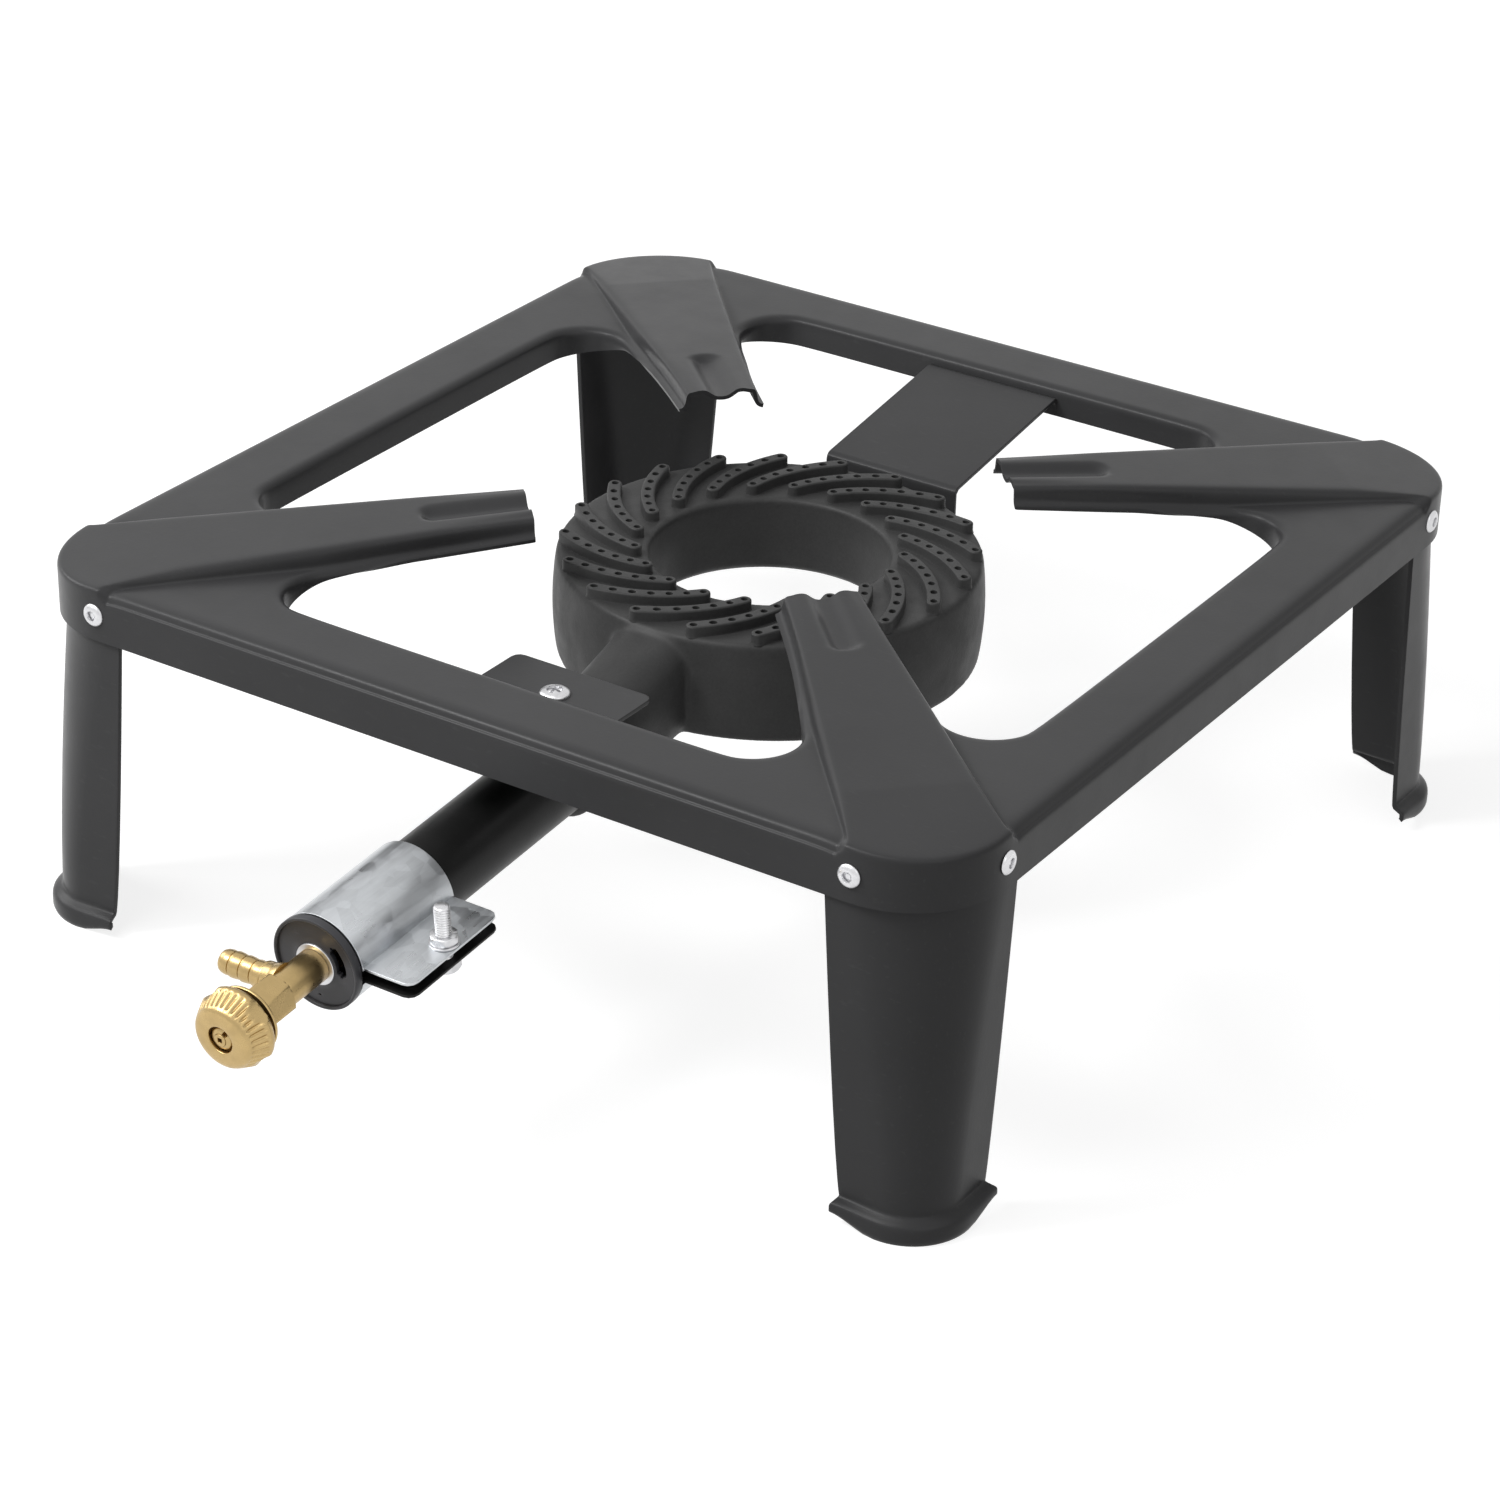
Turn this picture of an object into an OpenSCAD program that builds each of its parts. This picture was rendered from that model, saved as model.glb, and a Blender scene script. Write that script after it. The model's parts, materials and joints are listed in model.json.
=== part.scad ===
// Free-standing gas boiling ring: a pressed square frame on four legs carries a cast ring burner
// that is fed by a sloping mixing tube with an air shutter and a needle valve.
// The floor is at z = 0 and the valve points along -Y. X = 0 is the middle plane.

/* [Frame] */
// Outer width of the square frame
frame_w = 400; // [360:1:440]
// Radius of the frame's outer corners
corner_r = 40; // [34:1:46]
// Height of the rails' flat tops above the floor
rail_z = 146; // [136:1:160]
// Width of a rail seen from above
rail_w = 30.5; // [26:0.5:36]
// Depth of the outer skirt below the rail top
skirt_h = 20; // [18:0.5:26]
// Depth of the flange round the openings
flange_h = 12; // [9:0.5:15]
// Thickness of the frame's sheet
sheet = 1.5; // [1.2:0.1:2]
// Bend radius between a rail's top and its skirt
rail_edge_r = 4.5; // [3:0.25:6]
// Bend radius round the openings
flange_edge_r = 3; // [2.2:0.1:4]
// Radius of the openings' corners
opening_r = 18; // [14:0.5:24]
// Distance of an opening corner's centre from the frame's middle plane
opening_x = 90.5; // [84:0.5:94]

/* [Pan arms] */
// Distance from the centre to an arm's tip, along the diagonal
arm_tip_r = 92; // [88:1:100]
// Distance from the centre to the crease where the arm starts to rise
arm_crease_r = 225; // [215:1:232]
// Height of the corner plateau above the rail top
plateau_h = 4; // [2.5:0.5:6]
// Rise of the arm from the plateau to its tip
arm_rise = 7.4; // [4:0.2:12]
// Half the width of the arm's top at its tip
tip_half_w = 13.8; // [12:0.2:16]
// Half the width of the arm's top at the crease
crease_half_w = 24; // [20:0.5:27]
// Half the width over the side walls at the tip
tip_foot_half_w = 16.6; // [15:0.2:19]
// Height of the side walls at the tip
tip_wall_h = 7.4; // [5:0.2:9]
// Depth of the stiffening groove at the tip
groove_depth = 3; // [1.5:0.1:4]
// Length of the stiffening groove
groove_len = 39; // [28:1:50]

/* [Legs] */
// Thickness of the legs' sheet
leg_sheet = 1.8; // [1.4:0.1:2.2]
// Width of a leg's flank under the skirt
leg_top_w = 49; // [44:0.5:54]
// Width of a leg's flank just above its foot
leg_foot_w = 38.5; // [34:0.5:44]
// Corner radius of a leg just above its foot
leg_foot_r = 20; // [14:0.5:26]
// Height of the foot's outward curl
curl_h = 10; // [6:0.5:14]
// How far the foot curls outward
curl_out = 5; // [3:0.2:6]
// Distance of a leg rivet from the outer corner
rivet_inset = 38; // [35:0.5:42]
// Diameter of a rivet's head
rivet_head_d = 9.4; // [8:0.2:10]
// Diameter of a rivet's shank
rivet_d = 4.8; // [4:0.2:6]

/* [Burner] */
// Height of the burner's deck above the floor
deck_z = 130; // [124:1:132]
// Distance of the ring's middle behind the frame's middle
ring_y = 1.5; // [0:0.5:3]
// Radius of the deck
deck_r = 81.5; // [78:0.5:84]
// Radius of the burner's central hole
hole_r = 46; // [43:0.2:48]
// Height of the burner's outer wall
burner_h = 40; // [36:1:44]
// How far the outer wall bulges past the deck
bulge = 1.4; // [0.6:0.2:3]
// Thickness of the casting's deck, floor and inner wall
cast_wall = 3.7; // [3.2:0.1:3.8]
// Thickness of the casting's outer wall at the deck
rim_wall = 2.6; // [2.2:0.1:3]
// Number of drilled ribs
rib_n = 20; // [15:1:22]
// Width of a rib
rib_w = 5.4; // [4.4:0.1:6]
// Height of a rib
rib_h = 4; // [2.5:0.1:5]
// Angle that a rib sweeps from its inner to its outer end
rib_sweep = 28.5; // [16:0.5:32]
// Gas holes in each rib
port_n = 7; // [5:1:8]
// Diameter of a gas hole
port_d = 2.6; // [1.6:0.1:2.8]

/* [Brackets] */
// Width of the front bracket and of the rear strap
strap_w = 60; // [50:1:70]
// Thickness of the front bracket and of the rear strap
strap_t = 1.6; // [1.2:0.1:2]
// Distance from the frame's front to the front bracket's free edge
bracket_l = 79.7; // [74:0.1:86]
// Diameter of the bracket screws
screw_d = 6; // [5:0.5:6]
// Height of the rear strap's top at the ring, above the floor
strap_z = 131; // [129:0.5:132]
// Height that the rear strap gains on its way to the rear flange
strap_rise = 11; // [8:0.5:12]

/* [Mixing tube] */
// Slope of the burner's feed line
feed_pitch = 5; // [3.5:0.5:6]
// Height of the feed line under the front of the frame
feed_z = 90; // [87:0.5:93]
// Outer diameter of the mixing tube
tube_d = 30.6; // [29:0.2:32]
// Wall of the mixing tube
tube_wall = 2; // [1.5:0.1:2.2]
// Distance from the frame's front to the end of the tube
tube_reach = 74; // [70:1:80]
// Wall of the burner's socket round the tube
socket_wall = 2.8; // [2.4:0.1:4]
// Length of the air windows in the tube
window_l = 15; // [10:1:16]
// Width of the air windows in the tube
window_w = 13; // [8:1:16]

/* [Air shutter] */
// Length of the shutter sleeve
sleeve_l = 51; // [46:1:54]
// Thickness of the sleeve and of its liner
shutter_t = 1; // [0.8:0.1:1.2]
// Clearance between the tube and the liner
shutter_gap = 0.3; // [0.2:0.05:0.5]
// Reach of the clamping ears from the tube's axis
ear_reach = 37.5; // [35:0.5:42]
// Space between the two ears
ear_gap = 4; // [3:0.5:5]
// Diameter of the clamp bolt
clamp_d = 6; // [5:0.5:6]

/* [Valve] */
// Outer diameter of the end disc
disc_d = 35.8; // [35.4:0.2:38]
// Diameter of the valve's thread through the end disc
spud_d = 10; // [9:0.5:10.5]
// Diameter of the valve's barrel
barrel_d = 12.6; // [12:0.2:13.6]
// Width across flats of the valve's hexagon
hex_af = 14.5; // [13.5:0.5:16]
// Largest diameter of the hose barb
barb_d = 9.6; // [9:0.2:11]
// Bore of the hose barb
barb_bore_d = 5; // [4:0.2:5.6]
// Reach of the hose barb from the valve's axis
barb_reach = 28; // [25:1:34]
// Diameter of the valve spindle
spindle_d = 6; // [5:0.5:6]
// Largest diameter of the knob
knob_d = 29.8; // [28:0.2:32]
// Length of the knob
knob_l = 12; // [11:0.5:14]

/* [Hidden] */

// Finishes
enamel_black = [0.16, 0.16, 0.165];
iron_black = [0.11, 0.11, 0.11];
tube_black = [0.13, 0.13, 0.13];
zinc_bright = [0.78, 0.79, 0.80];
disc_grey = [0.24, 0.24, 0.25];
brass_yellow = [0.78, 0.62, 0.30];
packing_white = [0.85, 0.84, 0.80];

// Sizes that several pieces share
over = 1;
fit = 0.1;
run_fit = 0.05;
fine = 48;
root2 = sqrt(2);
half_w = frame_w / 2;
function mix(a, b, share) = a + (b - a) * share;

// Frame: heights, the openings' corners and the arms' walls
skirt_z = rail_z - skirt_h;
flange_z = rail_z - flange_h;
inner_half = half_w - rail_w;
opening_y = inner_half - opening_r;
corner_c = half_w - corner_r;
arc_end = [(opening_x + opening_y) / root2, (opening_y - opening_x) / root2 - opening_r];
plateau_z = rail_z + plateau_h;
pan_z = plateau_z + arm_rise;
plateau_edge_r = 2;
arm_edge = 2.2;
wall_end_z = rail_z - sheet;
ramp_w = 3.6;
foot_x = corner_c - ramp_w - sheet;
groove_run = 6;
groove_end_r = arm_tip_r + groove_len + groove_run;
fillet_shares = [0, 0.1, 0.23, 0.37, 0.54, 0.72, 0.87, 1];
run_shares = [0.25, 0.5, 0.75];
ramp_shares = [0.33, 0.66, 1];
lift_shares = [0.35, 0.8, 1];
corner_shares = [0.86, 0.65, 0.43, 0.21, 0];
top_shares = [0.8, 0.62, 0.4, 0.18, 0];
valley_shares = [0, 0.12, 0.6, 0.93, 1];
groove_shares = [0, 0.55, 0.85, 0.95, 1];

// Frame: the lines of one eighth, from a rail's middle to the diagonal, and the points on a line
foot_line_n = 8;
mid_line_n = 16;
quarter_n = 2 * mid_line_n;
line_n = 4 * quarter_n;
seam_n = 8;
rail_last_n = 11;
arm_last_n = 14;

// Legs and rivets
leg_face = half_w - sheet - fit;
leg_top_r = corner_r - sheet / 3;
leg_top_z = rail_z - rail_edge_r - fit;
foot_round = 7;
arc_step = 15;
curl_shares = [0, 0.12, 0.3, 0.6, 1];
flank_shares = [0.15, 0.35, 0.6, 0.82, 1];
rivet_drop = 9.8;
rivet_z = rail_z - rivet_drop;
rivet_head_h = 1.6;
rivet_grip = sheet + fit + leg_sheet;
rivet_hole_l = 16;
bulb_l = 3;
bulb_r = rivet_d * 0.7;

// Burner: section, ribs and neck
burner_z = deck_z - burner_h;
under_h = 9;
cast_edge = 1.2;
barrel_shares = [0, 0.15, 0.35, 0.5, 0.65, 0.85, 1];
rib_margin = 3.1;
rib_edge = 0.7;
rib_in = hole_r + rib_margin + rib_w / 2;
rib_out = deck_r - rib_edge - rib_w / 2;
rib_turn = 4.5;
rib_steps = 5;
neck_half_w = 20;
neck_edge_r = 8;
neck_lip = 0.8;
neck_lip_l = 2;
neck_root_y = ring_y - (deck_r - rim_wall - 2 * over);
screw_inset = 15.7;
neck_over = 14;
bracket_screw_y = bracket_l - half_w - screw_inset;
neck_mouth_y = bracket_screw_y - neck_over;
socket_l = 28;
throat_r = 10;
boss_r = 8;
rear_boss_l = 5.7;
rear_face_y = ring_y + deck_r + rear_boss_l;
rear_boss_r = 12;

// Brackets
tab_h = 8;
strap_edge_r = 3.5;
bracket_z = skirt_z + strap_t;
strap_bend_r = 3;
strap_drop = 33;
strap_screw_drop = 19;
strap_screw_z = strap_z - strap_screw_drop;
screw_head_r = 5.6;
screw_head_h = 3.4;
screw_l = 8;
screw_head_shares = [[0, 0], [1, 0], [1, 0.45], [0.9, 0.75], [0.65, 0.95], [0.4, 1], [0, 1]];
thread_fit = 0.1;

// Feed line: distances along it are counted forward from under the frame's front
tube_r = tube_d / 2;
bore_r = tube_r - tube_wall;
socket_r = tube_r + fit + socket_wall;
socket_s = -(half_w + neck_mouth_y);
tube_in_s = socket_s - socket_l;
window_inset = 6;
window_s = tube_reach - window_inset - window_l;

// Air shutter
liner_r = tube_r + shutter_gap + shutter_t;
sleeve_r = liner_r + fit + shutter_t;
sleeve_inset = 0.7;
sleeve_s = tube_reach - sleeve_inset - sleeve_l;
ear_lift = 1.2;
ear_inset = 0.5;
ear_s = sleeve_s + ear_inset;
ear_l = sleeve_l - 2 * ear_inset;
ear_round = 4;
lip_gap = 0.5;
clamp_x = 30;
clamp_s = ear_s + ear_l / 2;
clamp_af = 10;
clamp_head_h = 4;
clamp_nut_h = 3.5;
clamp_washer_r = 5.75;
clamp_washer_t = 1;
clamp_top = 16;
lower_ear_y = ear_lift - ear_gap - shutter_t;

// End disc, washer and lock nut
disc_t = 2.2;
disc_rim_h = 3.3;
disc_rim_w = 1.3;
disc_spigot_l = 3;
kidney_in = 8.6;
kidney_out = 12.6;
kidney_from = -15;
kidney_to = 75;
drain_r = 0.8;
drain_y = -13;
washer_r = 8;
washer_t = 1.2;
locknut_af = 14;
locknut_h = 4;

// Valve stations along the feed line
disc_s = tube_reach;
barrel_s = disc_s + disc_t + washer_t;
barrel_l = 19.6;
hex_s = barrel_s + barrel_l;
hex_l = 14;
thread_s = hex_s + hex_l;
thread_l = 5.5;
thread_r = 5.5;
knob_inset = 1;
knob_s = thread_s + thread_l - knob_inset;
face_s = knob_s + knob_l;
spud_l = 8;
spud_s = disc_s - spud_l;
boss_inset = 6;
barb_s = hex_s - boss_inset;
bore_l = 13.5;
seat_s = spud_s + bore_l;
seat_l = 2.5;
seat_r = 1.5;
gas_r = 4;
jet_r = 3;
jet_l = 7;
jet_af = 7;
jet_head_h = 3;
jet_hole_r = 0.4;
boss_x = 9;
boss_outer_r = 5.6;
spigot_r = 3.5;
spigot_l = 3;
barb_n = 3;
packing_r = 4.5;
packing_l = 4;
gland_af = 14;
gland_end_t = 1;
gland_flange_r = 12.3;
gland_flange_t = 1.2;
gland_flange_inset = 1.2;
gland_flange_s = thread_s + gland_flange_inset;

// Spindle and knob
spindle_r = spindle_d / 2;
needle_l = 4;
spindle_nose_r = 2.4;
spindle_nose_l = 4;
knob_face_r = 11.4;
knob_flat_r = knob_face_r * 0.92;
knob_cavity_r = 10.5;
knob_cavity_l = 5;
knob_recess_r = 5;
knob_recess_l = 4;
knob_nut_r = 4.6;
knob_nut_l = 3;
knob_slot_w = 1.2;
flute_n = 36;
flute_r = 0.55;
scallop_n = 4;
scallop_r = 9;
scallop_depth = 1.3;
knob_back_chamfer = 1.8;
pin_r = 0.9;
pin_l = 2;

// The whole part stands with the middle of its outline over the origin
rear_reach = max(leg_face + curl_out, half_w + rivet_head_h);
front_reach = half_w + face_s * cos(feed_pitch) + knob_flat_r * sin(feed_pitch);
y_shift = (front_reach - rear_reach) / 2;

module placed() { translate([0, y_shift, 0]) children(); }

// Local Z runs forward along the feed line, X stays X and Y points up
module feed() {
    placed() translate([0, -half_w, feed_z]) rotate([feed_pitch, 0, 0]) rotate([90, 0, 0]) children();
}

// A piece along the feed line between two stations
module along(from, to) { feed() translate([0, 0, from]) linear_extrude(to - from) children(); }

module ring(outer, inner) {
    difference() {
        circle(r = outer, $fn = fine);
        circle(r = inner, $fn = fine);
    }
}

module hexagon(across) { circle(r = across / sqrt(3), $fn = 6); }

// Pressed frame. A line runs from the skirt's lower edge over the bend to an opening or an arm's tip
function fold(line) = let (q = line % quarter_n) q <= mid_line_n ? q : quarter_n - q;
function mirrored(line) = (line % quarter_n) >= mid_line_n;
function is_arm(line) = fold(line) >= foot_line_n;
function last_of(line) = is_arm(line) ? arm_last_n : rail_last_n;
function across_xy(along_d, across_d) = [(along_d - across_d) / root2, (along_d + across_d) / root2];

// Start of a line on the skirt: x, y, direction of the face and share of the plateau's lift
function rim_start(j) =
    j == 0 ? [0, half_w, 90, 0]
    : j <= foot_line_n ? [mix(opening_x, foot_x, fillet_shares[j - 1]), half_w, 90, 0]
    : j <= foot_line_n + 3
        ? [foot_x + ramp_w * ramp_shares[j - foot_line_n - 1], half_w, 90, lift_shares[j - foot_line_n - 1]]
    : let (a = 45 + 45 * corner_shares[j - foot_line_n - 4])
        [corner_c + corner_r * cos(a), corner_c + corner_r * sin(a), a, 1];

function rim_pt(j, i) =
    let (s = rim_start(j), r = mix(rail_edge_r, plateau_edge_r, s[3]), a = 30 * (i - 1))
    let (top = rail_z + plateau_h * s[3], inward = i == 0 ? 0 : r * (1 - cos(a)))
    [s[0] - inward * cos(s[2]), s[1] - inward * sin(s[2]), i == 0 ? skirt_z : top - r + r * sin(a)];

// Bent edge of an opening, whose flange grows shallow towards the arm
function lip_pt(j, i) =
    let (turn = j == 0 ? 0 : (j - 1) / (foot_line_n - 1), a = 90 - 135 * turn, b = 45 * min(i - seam_n, 2))
    let (r = opening_r + flange_edge_r * (1 - sin(b)), low = rail_z - flange_edge_r)
    [(j == 0 ? 0 : opening_x) + r * cos(a), opening_y + r * sin(a),
     i == rail_last_n ? mix(flange_z, low, turn * turn) : rail_z - flange_edge_r * (1 - cos(b))];

function station(i) =
    i <= seam_n ? mix(arm_crease_r, arc_end.x, (i - 5) / 3)
    : i == 9 ? mix(arc_end.x, groove_end_r, 0.5)
    : i <= 12 ? groove_end_r - groove_run * (i - 10) / 2
    : mix(groove_end_r - groove_run, arm_tip_r, (i - 12) / 2);

function wall_corner(r) =
    let (share = (r - arm_tip_r) / (arm_crease_r - arm_tip_r))
    [mix(tip_half_w, crease_half_w, share), mix(pan_z, plateau_z, share)];

function wall_foot(r, i) =
    let (rim = rim_pt(foot_line_n, 4), rim_r = (rim.x + rim.y) / root2, rim_v = (rim.y - rim.x) / root2)
    let (s = (r - arm_tip_r) / (arc_end.x - arm_tip_r))
    i <= seam_n
        ? [mix(rim_v, arc_end.y, (rim_r - r) / (rim_r - arc_end.x)), i == seam_n ? wall_end_z : rail_z]
        : [mix(tip_foot_half_w, arc_end.y, pow(s, 1.85)),
           mix(wall_end_z, pan_z - tip_wall_h, pow(1 - s, 2))];

function arm_pt(j, i) =
    let (r = station(i), c = wall_corner(r), f = wall_foot(r, i), top = c - [arm_edge, 0])
    let (side = c + (f - c) / norm(f - c) * arm_edge, k = j - foot_line_n - 4)
    let (sink = i < 10 ? 0 : groove_shares[i - 10] * groove_depth)
    let (p = j == foot_line_n ? f : j == foot_line_n + 1 ? side
        : j == foot_line_n + 2 ? (side + 2 * c + top) / 4 : j == foot_line_n + 3 ? top
        : [top.x * top_shares[k], top.y - sink * valley_shares[k]])
    let (q = across_xy(r, p.x)) [q.x, q.y, p.y];

function eighth_pt(j, i) =
    i < 5 ? rim_pt(j, i)
    : j >= foot_line_n ? arm_pt(j, i)
    : i >= seam_n ? lip_pt(j, i)
    : mix(rim_pt(j, 4), lip_pt(j, seam_n), run_shares[i - 5]);

// The eighth is mirrored in the diagonal, and the quarter is turned four times
function turned(p, k) = k == 0 ? p : turned([p.y, -p.x, p.z], k - 1);
function frame_pt(line, i) =
    let (p = eighth_pt(fold(line), i))
    turned(mirrored(line) ? [p.y, p.x, p.z] : p, floor(line / quarter_n));

skin = [for (n = [0:line_n - 1]) [for (i = [0:last_of(n)]) frame_pt(n, i)]];

// The inner skin lies one sheet below the outer one, along its normals
function beside(n, i, step) =
    let (m = (n + step + line_n) % line_n) i <= seam_n || is_arm(m) == is_arm(n) ? skin[m][i] : skin[n][i];
function inner_pt(n, i) =
    let (up = skin[n][min(i + 1, last_of(n))] - skin[n][max(i - 1, 0)])
    let (normal = cross(up, beside(n, i, 1) - beside(n, i, -1)))
    skin[n][i] - normal / norm(normal) * sheet;

starts = [for (n = 0, at = 0; n < line_n; at = at + last_of(n) + 1, n = n + 1) at];
skin_n = starts[line_n - 1] + last_of(line_n - 1) + 1;
function id(n, i) = starts[n % line_n] + i;
function quad(a, b, c, d, flip) = flip ? [[a, b, d], [b, c, d]] : [[a, b, c], [a, c, d]];

// Each strip of the outer skin lies between a line and the next, and a rail line fans to an arm's foot
function strip(n) =
    let (m = n + 1, both_arm = is_arm(n) && is_arm(m), both_rail = !is_arm(n) && !is_arm(m % line_n))
    let (rows = both_arm ? arm_last_n : both_rail ? rail_last_n : seam_n)
    concat(
        [for (i = [0:rows - 1]) each quad(id(n, i), id(m, i), id(m, i + 1), id(n, i + 1), mirrored(n))],
        both_arm || both_rail ? []
        : is_arm(m % line_n) ? [for (i = [seam_n:rail_last_n - 1]) [id(n, i), id(m, seam_n), id(n, i + 1)]]
        : [for (i = [seam_n:rail_last_n - 1]) [id(n, seam_n), id(m, i), id(m, i + 1)]]
    );

// Free edges in the order in which the outer skin runs along them
function edges(n) =
    let (m = n + 1, arm_n = is_arm(n), arm_m = is_arm(m % line_n))
    concat(
        [[id(n, 0), id(m, 0)]],
        [[arm_m ? id(m, arm_n ? arm_last_n : seam_n) : id(m, rail_last_n),
          arm_n ? id(n, arm_m ? arm_last_n : seam_n) : id(n, rail_last_n)]],
        arm_n && fold(n) == foot_line_n && !mirrored(n)
            ? [for (i = [seam_n:arm_last_n - 1]) [id(n, i + 1), id(n, i)]] : [],
        arm_m && fold(m) == foot_line_n && mirrored(m)
            ? [for (i = [seam_n:arm_last_n - 1]) [id(m, i), id(m, i + 1)]] : []
    );

module pressed_sheet() {
    outer_faces = [for (n = [0:line_n - 1]) each strip(n)];
    rims = [for (n = [0:line_n - 1]) each edges(n)];
    polyhedron(
        points = concat([for (line = skin) each line],
                        [for (n = [0:line_n - 1]) for (i = [0:last_of(n)]) inner_pt(n, i)]),
        faces = concat(outer_faces,
                       [for (f = outer_faces) [f[2] + skin_n, f[1] + skin_n, f[0] + skin_n]],
                       [for (e = rims) each quad(e[1], e[0], e[0] + skin_n, e[1] + skin_n, false)])
    );
}

// Two rivets at each corner: local Z points out of the skirt's face
module at_rivets() {
    for (k = [0:3]) rotate(90 * k) {
        translate([half_w - rivet_inset, half_w, rivet_z]) rotate([-90, 0, 0]) children();
        translate([half_w, half_w - rivet_inset, rivet_z]) rotate([0, 90, 0]) children();
    }
}

module rivet_holes() { at_rivets() cylinder(r = rivet_d / 2 + fit, h = rivet_hole_l, center = true, $fn = fine); }

module top_frame() {
    color(enamel_black) placed() difference() {
        pressed_sheet();
        rivet_holes();
    }
}

// Pressed leg: a corner section that narrows towards a foot with an outward curl
function leg_share(z) = max(0, min(1, (z - curl_h) / (skirt_z - curl_h)));
function leg_out(z) = z < curl_h ? curl_out * pow(1 - z / curl_h, 2) : 0;
function leg_cut(z) = z < foot_round ? foot_round - sqrt(pow(foot_round, 2) - pow(foot_round - z, 2)) : 0;
function leg_row(z, inset) =
    let (face = leg_face + leg_out(z), r = mix(leg_foot_r, leg_top_r, pow(leg_share(z), 1.4)) + leg_out(z))
    let (end = leg_face - mix(leg_foot_w, leg_top_w, pow(leg_share(z), 0.45)) + leg_cut(z), c = face - r)
    concat([[end, face - inset, z]],
           [for (a = [90:-arc_step:0]) [c + (r - inset) * cos(a), c + (r - inset) * sin(a), z]],
           [[face - inset, end, z]]);

module leg(turns) {
    zs = concat([for (s = curl_shares) curl_h * s], [for (s = flank_shares) mix(curl_h, skirt_z, s)], [leg_top_z]);
    rows = len(zs);
    cols = len(leg_row(0, 0));
    n = rows * cols;
    function at(r, c) = r * cols + c;
    color(enamel_black) placed() difference() {
        rotate(90 * turns) polyhedron(
            points = concat([for (z = zs) each leg_row(z, 0)], [for (z = zs) each leg_row(z, leg_sheet)]),
            faces = concat(
                [for (r = [0:rows - 2]) for (c = [0:cols - 2])
                    each quad(at(r, c), at(r + 1, c), at(r + 1, c + 1), at(r, c + 1), false)],
                [for (r = [0:rows - 2]) for (c = [0:cols - 2])
                    each quad(n + at(r, c), n + at(r, c + 1), n + at(r + 1, c + 1), n + at(r + 1, c), false)],
                [for (c = [0:cols - 2]) each quad(at(0, c), at(0, c + 1), n + at(0, c + 1), n + at(0, c), false)],
                [for (c = [0:cols - 2])
                    each quad(at(rows - 1, c + 1), at(rows - 1, c), n + at(rows - 1, c),
                              n + at(rows - 1, c + 1), false)],
                [for (r = [0:rows - 2]) each quad(at(r + 1, 0), at(r, 0), n + at(r, 0), n + at(r + 1, 0), false)],
                [for (r = [0:rows - 2])
                    each quad(at(r, cols - 1), at(r + 1, cols - 1), n + at(r + 1, cols - 1),
                              n + at(r, cols - 1), false)]
            )
        );
        rivet_holes();
    }
}

module leg_rear_right() { leg(0); }
module leg_rear_left() { leg(1); }
module leg_front_left() { leg(2); }
module leg_front_right() { leg(3); }

// Blind rivet: domed head with the mark of its pin outside, formed bulb inside
module leg_rivets() {
    back = -rivet_grip - fit;
    head_r = rivet_head_d / 2;
    color(zinc_bright) placed() at_rivets() rotate_extrude($fn = fine) polygon([
        [0, back - bulb_l], [bulb_r * 0.7, back - bulb_l], [bulb_r, back - bulb_l * 0.7],
        [bulb_r, back - bulb_l * 0.4], [rivet_d / 2, back - bulb_l * 0.15], [rivet_d / 2, 0], [head_r, 0],
        [head_r, rivet_head_h * 0.3], [head_r * 0.72, rivet_head_h * 0.85], [head_r * 0.34, rivet_head_h],
        [head_r * 0.28, rivet_head_h * 0.55], [0, rivet_head_h * 0.55]
    ]);
}

// Burner ring with spiral ribs
module at_ring() { translate([0, ring_y, 0]) children(); }

module ring_section() {
    polygon(concat(
        [[hole_r, burner_z + under_h + cast_edge * 2], [hole_r + cast_edge * 2, burner_z + under_h],
         [deck_r - cast_wall, burner_z], [deck_r - cast_edge, burner_z]],
        [for (s = barrel_shares)
            [deck_r + bulge * (1 - pow(2 * s - 1, 2)), mix(burner_z + cast_edge, deck_z - cast_edge, s)]],
        [[deck_r - cast_edge, deck_z], [hole_r + cast_edge, deck_z], [hole_r, deck_z - cast_edge]]
    ));
}

module chamber_section() {
    polygon([
        [hole_r + cast_wall, deck_z - cast_wall], [deck_r - rim_wall, deck_z - cast_wall],
        [deck_r - rim_wall, burner_z + cast_wall + cast_edge],
        [hole_r + cast_wall, burner_z + under_h + cast_wall + cast_edge]
    ]);
}

// Middle of a rib at a share of its length
function rib_angle(share) = -rib_sweep * share;
function rib_pt(share) = mix(rib_in, rib_out, share) * [cos(rib_angle(share)), sin(rib_angle(share))];
function rib_dir(share) = let (d = rib_pt(share + 1 / 100) - rib_pt(share - 1 / 100)) d / norm(d);
function rib_heading(share) = atan2(rib_dir(share).y, rib_dir(share).x);
function rib_side(share, side) = rib_pt(share) + side * rib_w / 2 * [-rib_dir(share).y, rib_dir(share).x];

module rib_outline() {
    polygon(concat(
        [for (k = [0:rib_steps]) rib_side(k / rib_steps, -1)],
        [for (a = [-60:30:60]) rib_pt(1) + rib_w / 2 * [cos(rib_heading(1) + a), sin(rib_heading(1) + a)]],
        [for (k = [rib_steps:-1:0]) rib_side(k / rib_steps, 1)],
        [for (a = [120:30:240]) rib_pt(0) + rib_w / 2 * [cos(rib_heading(0) + a), sin(rib_heading(0) + a)]]
    ));
}

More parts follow.
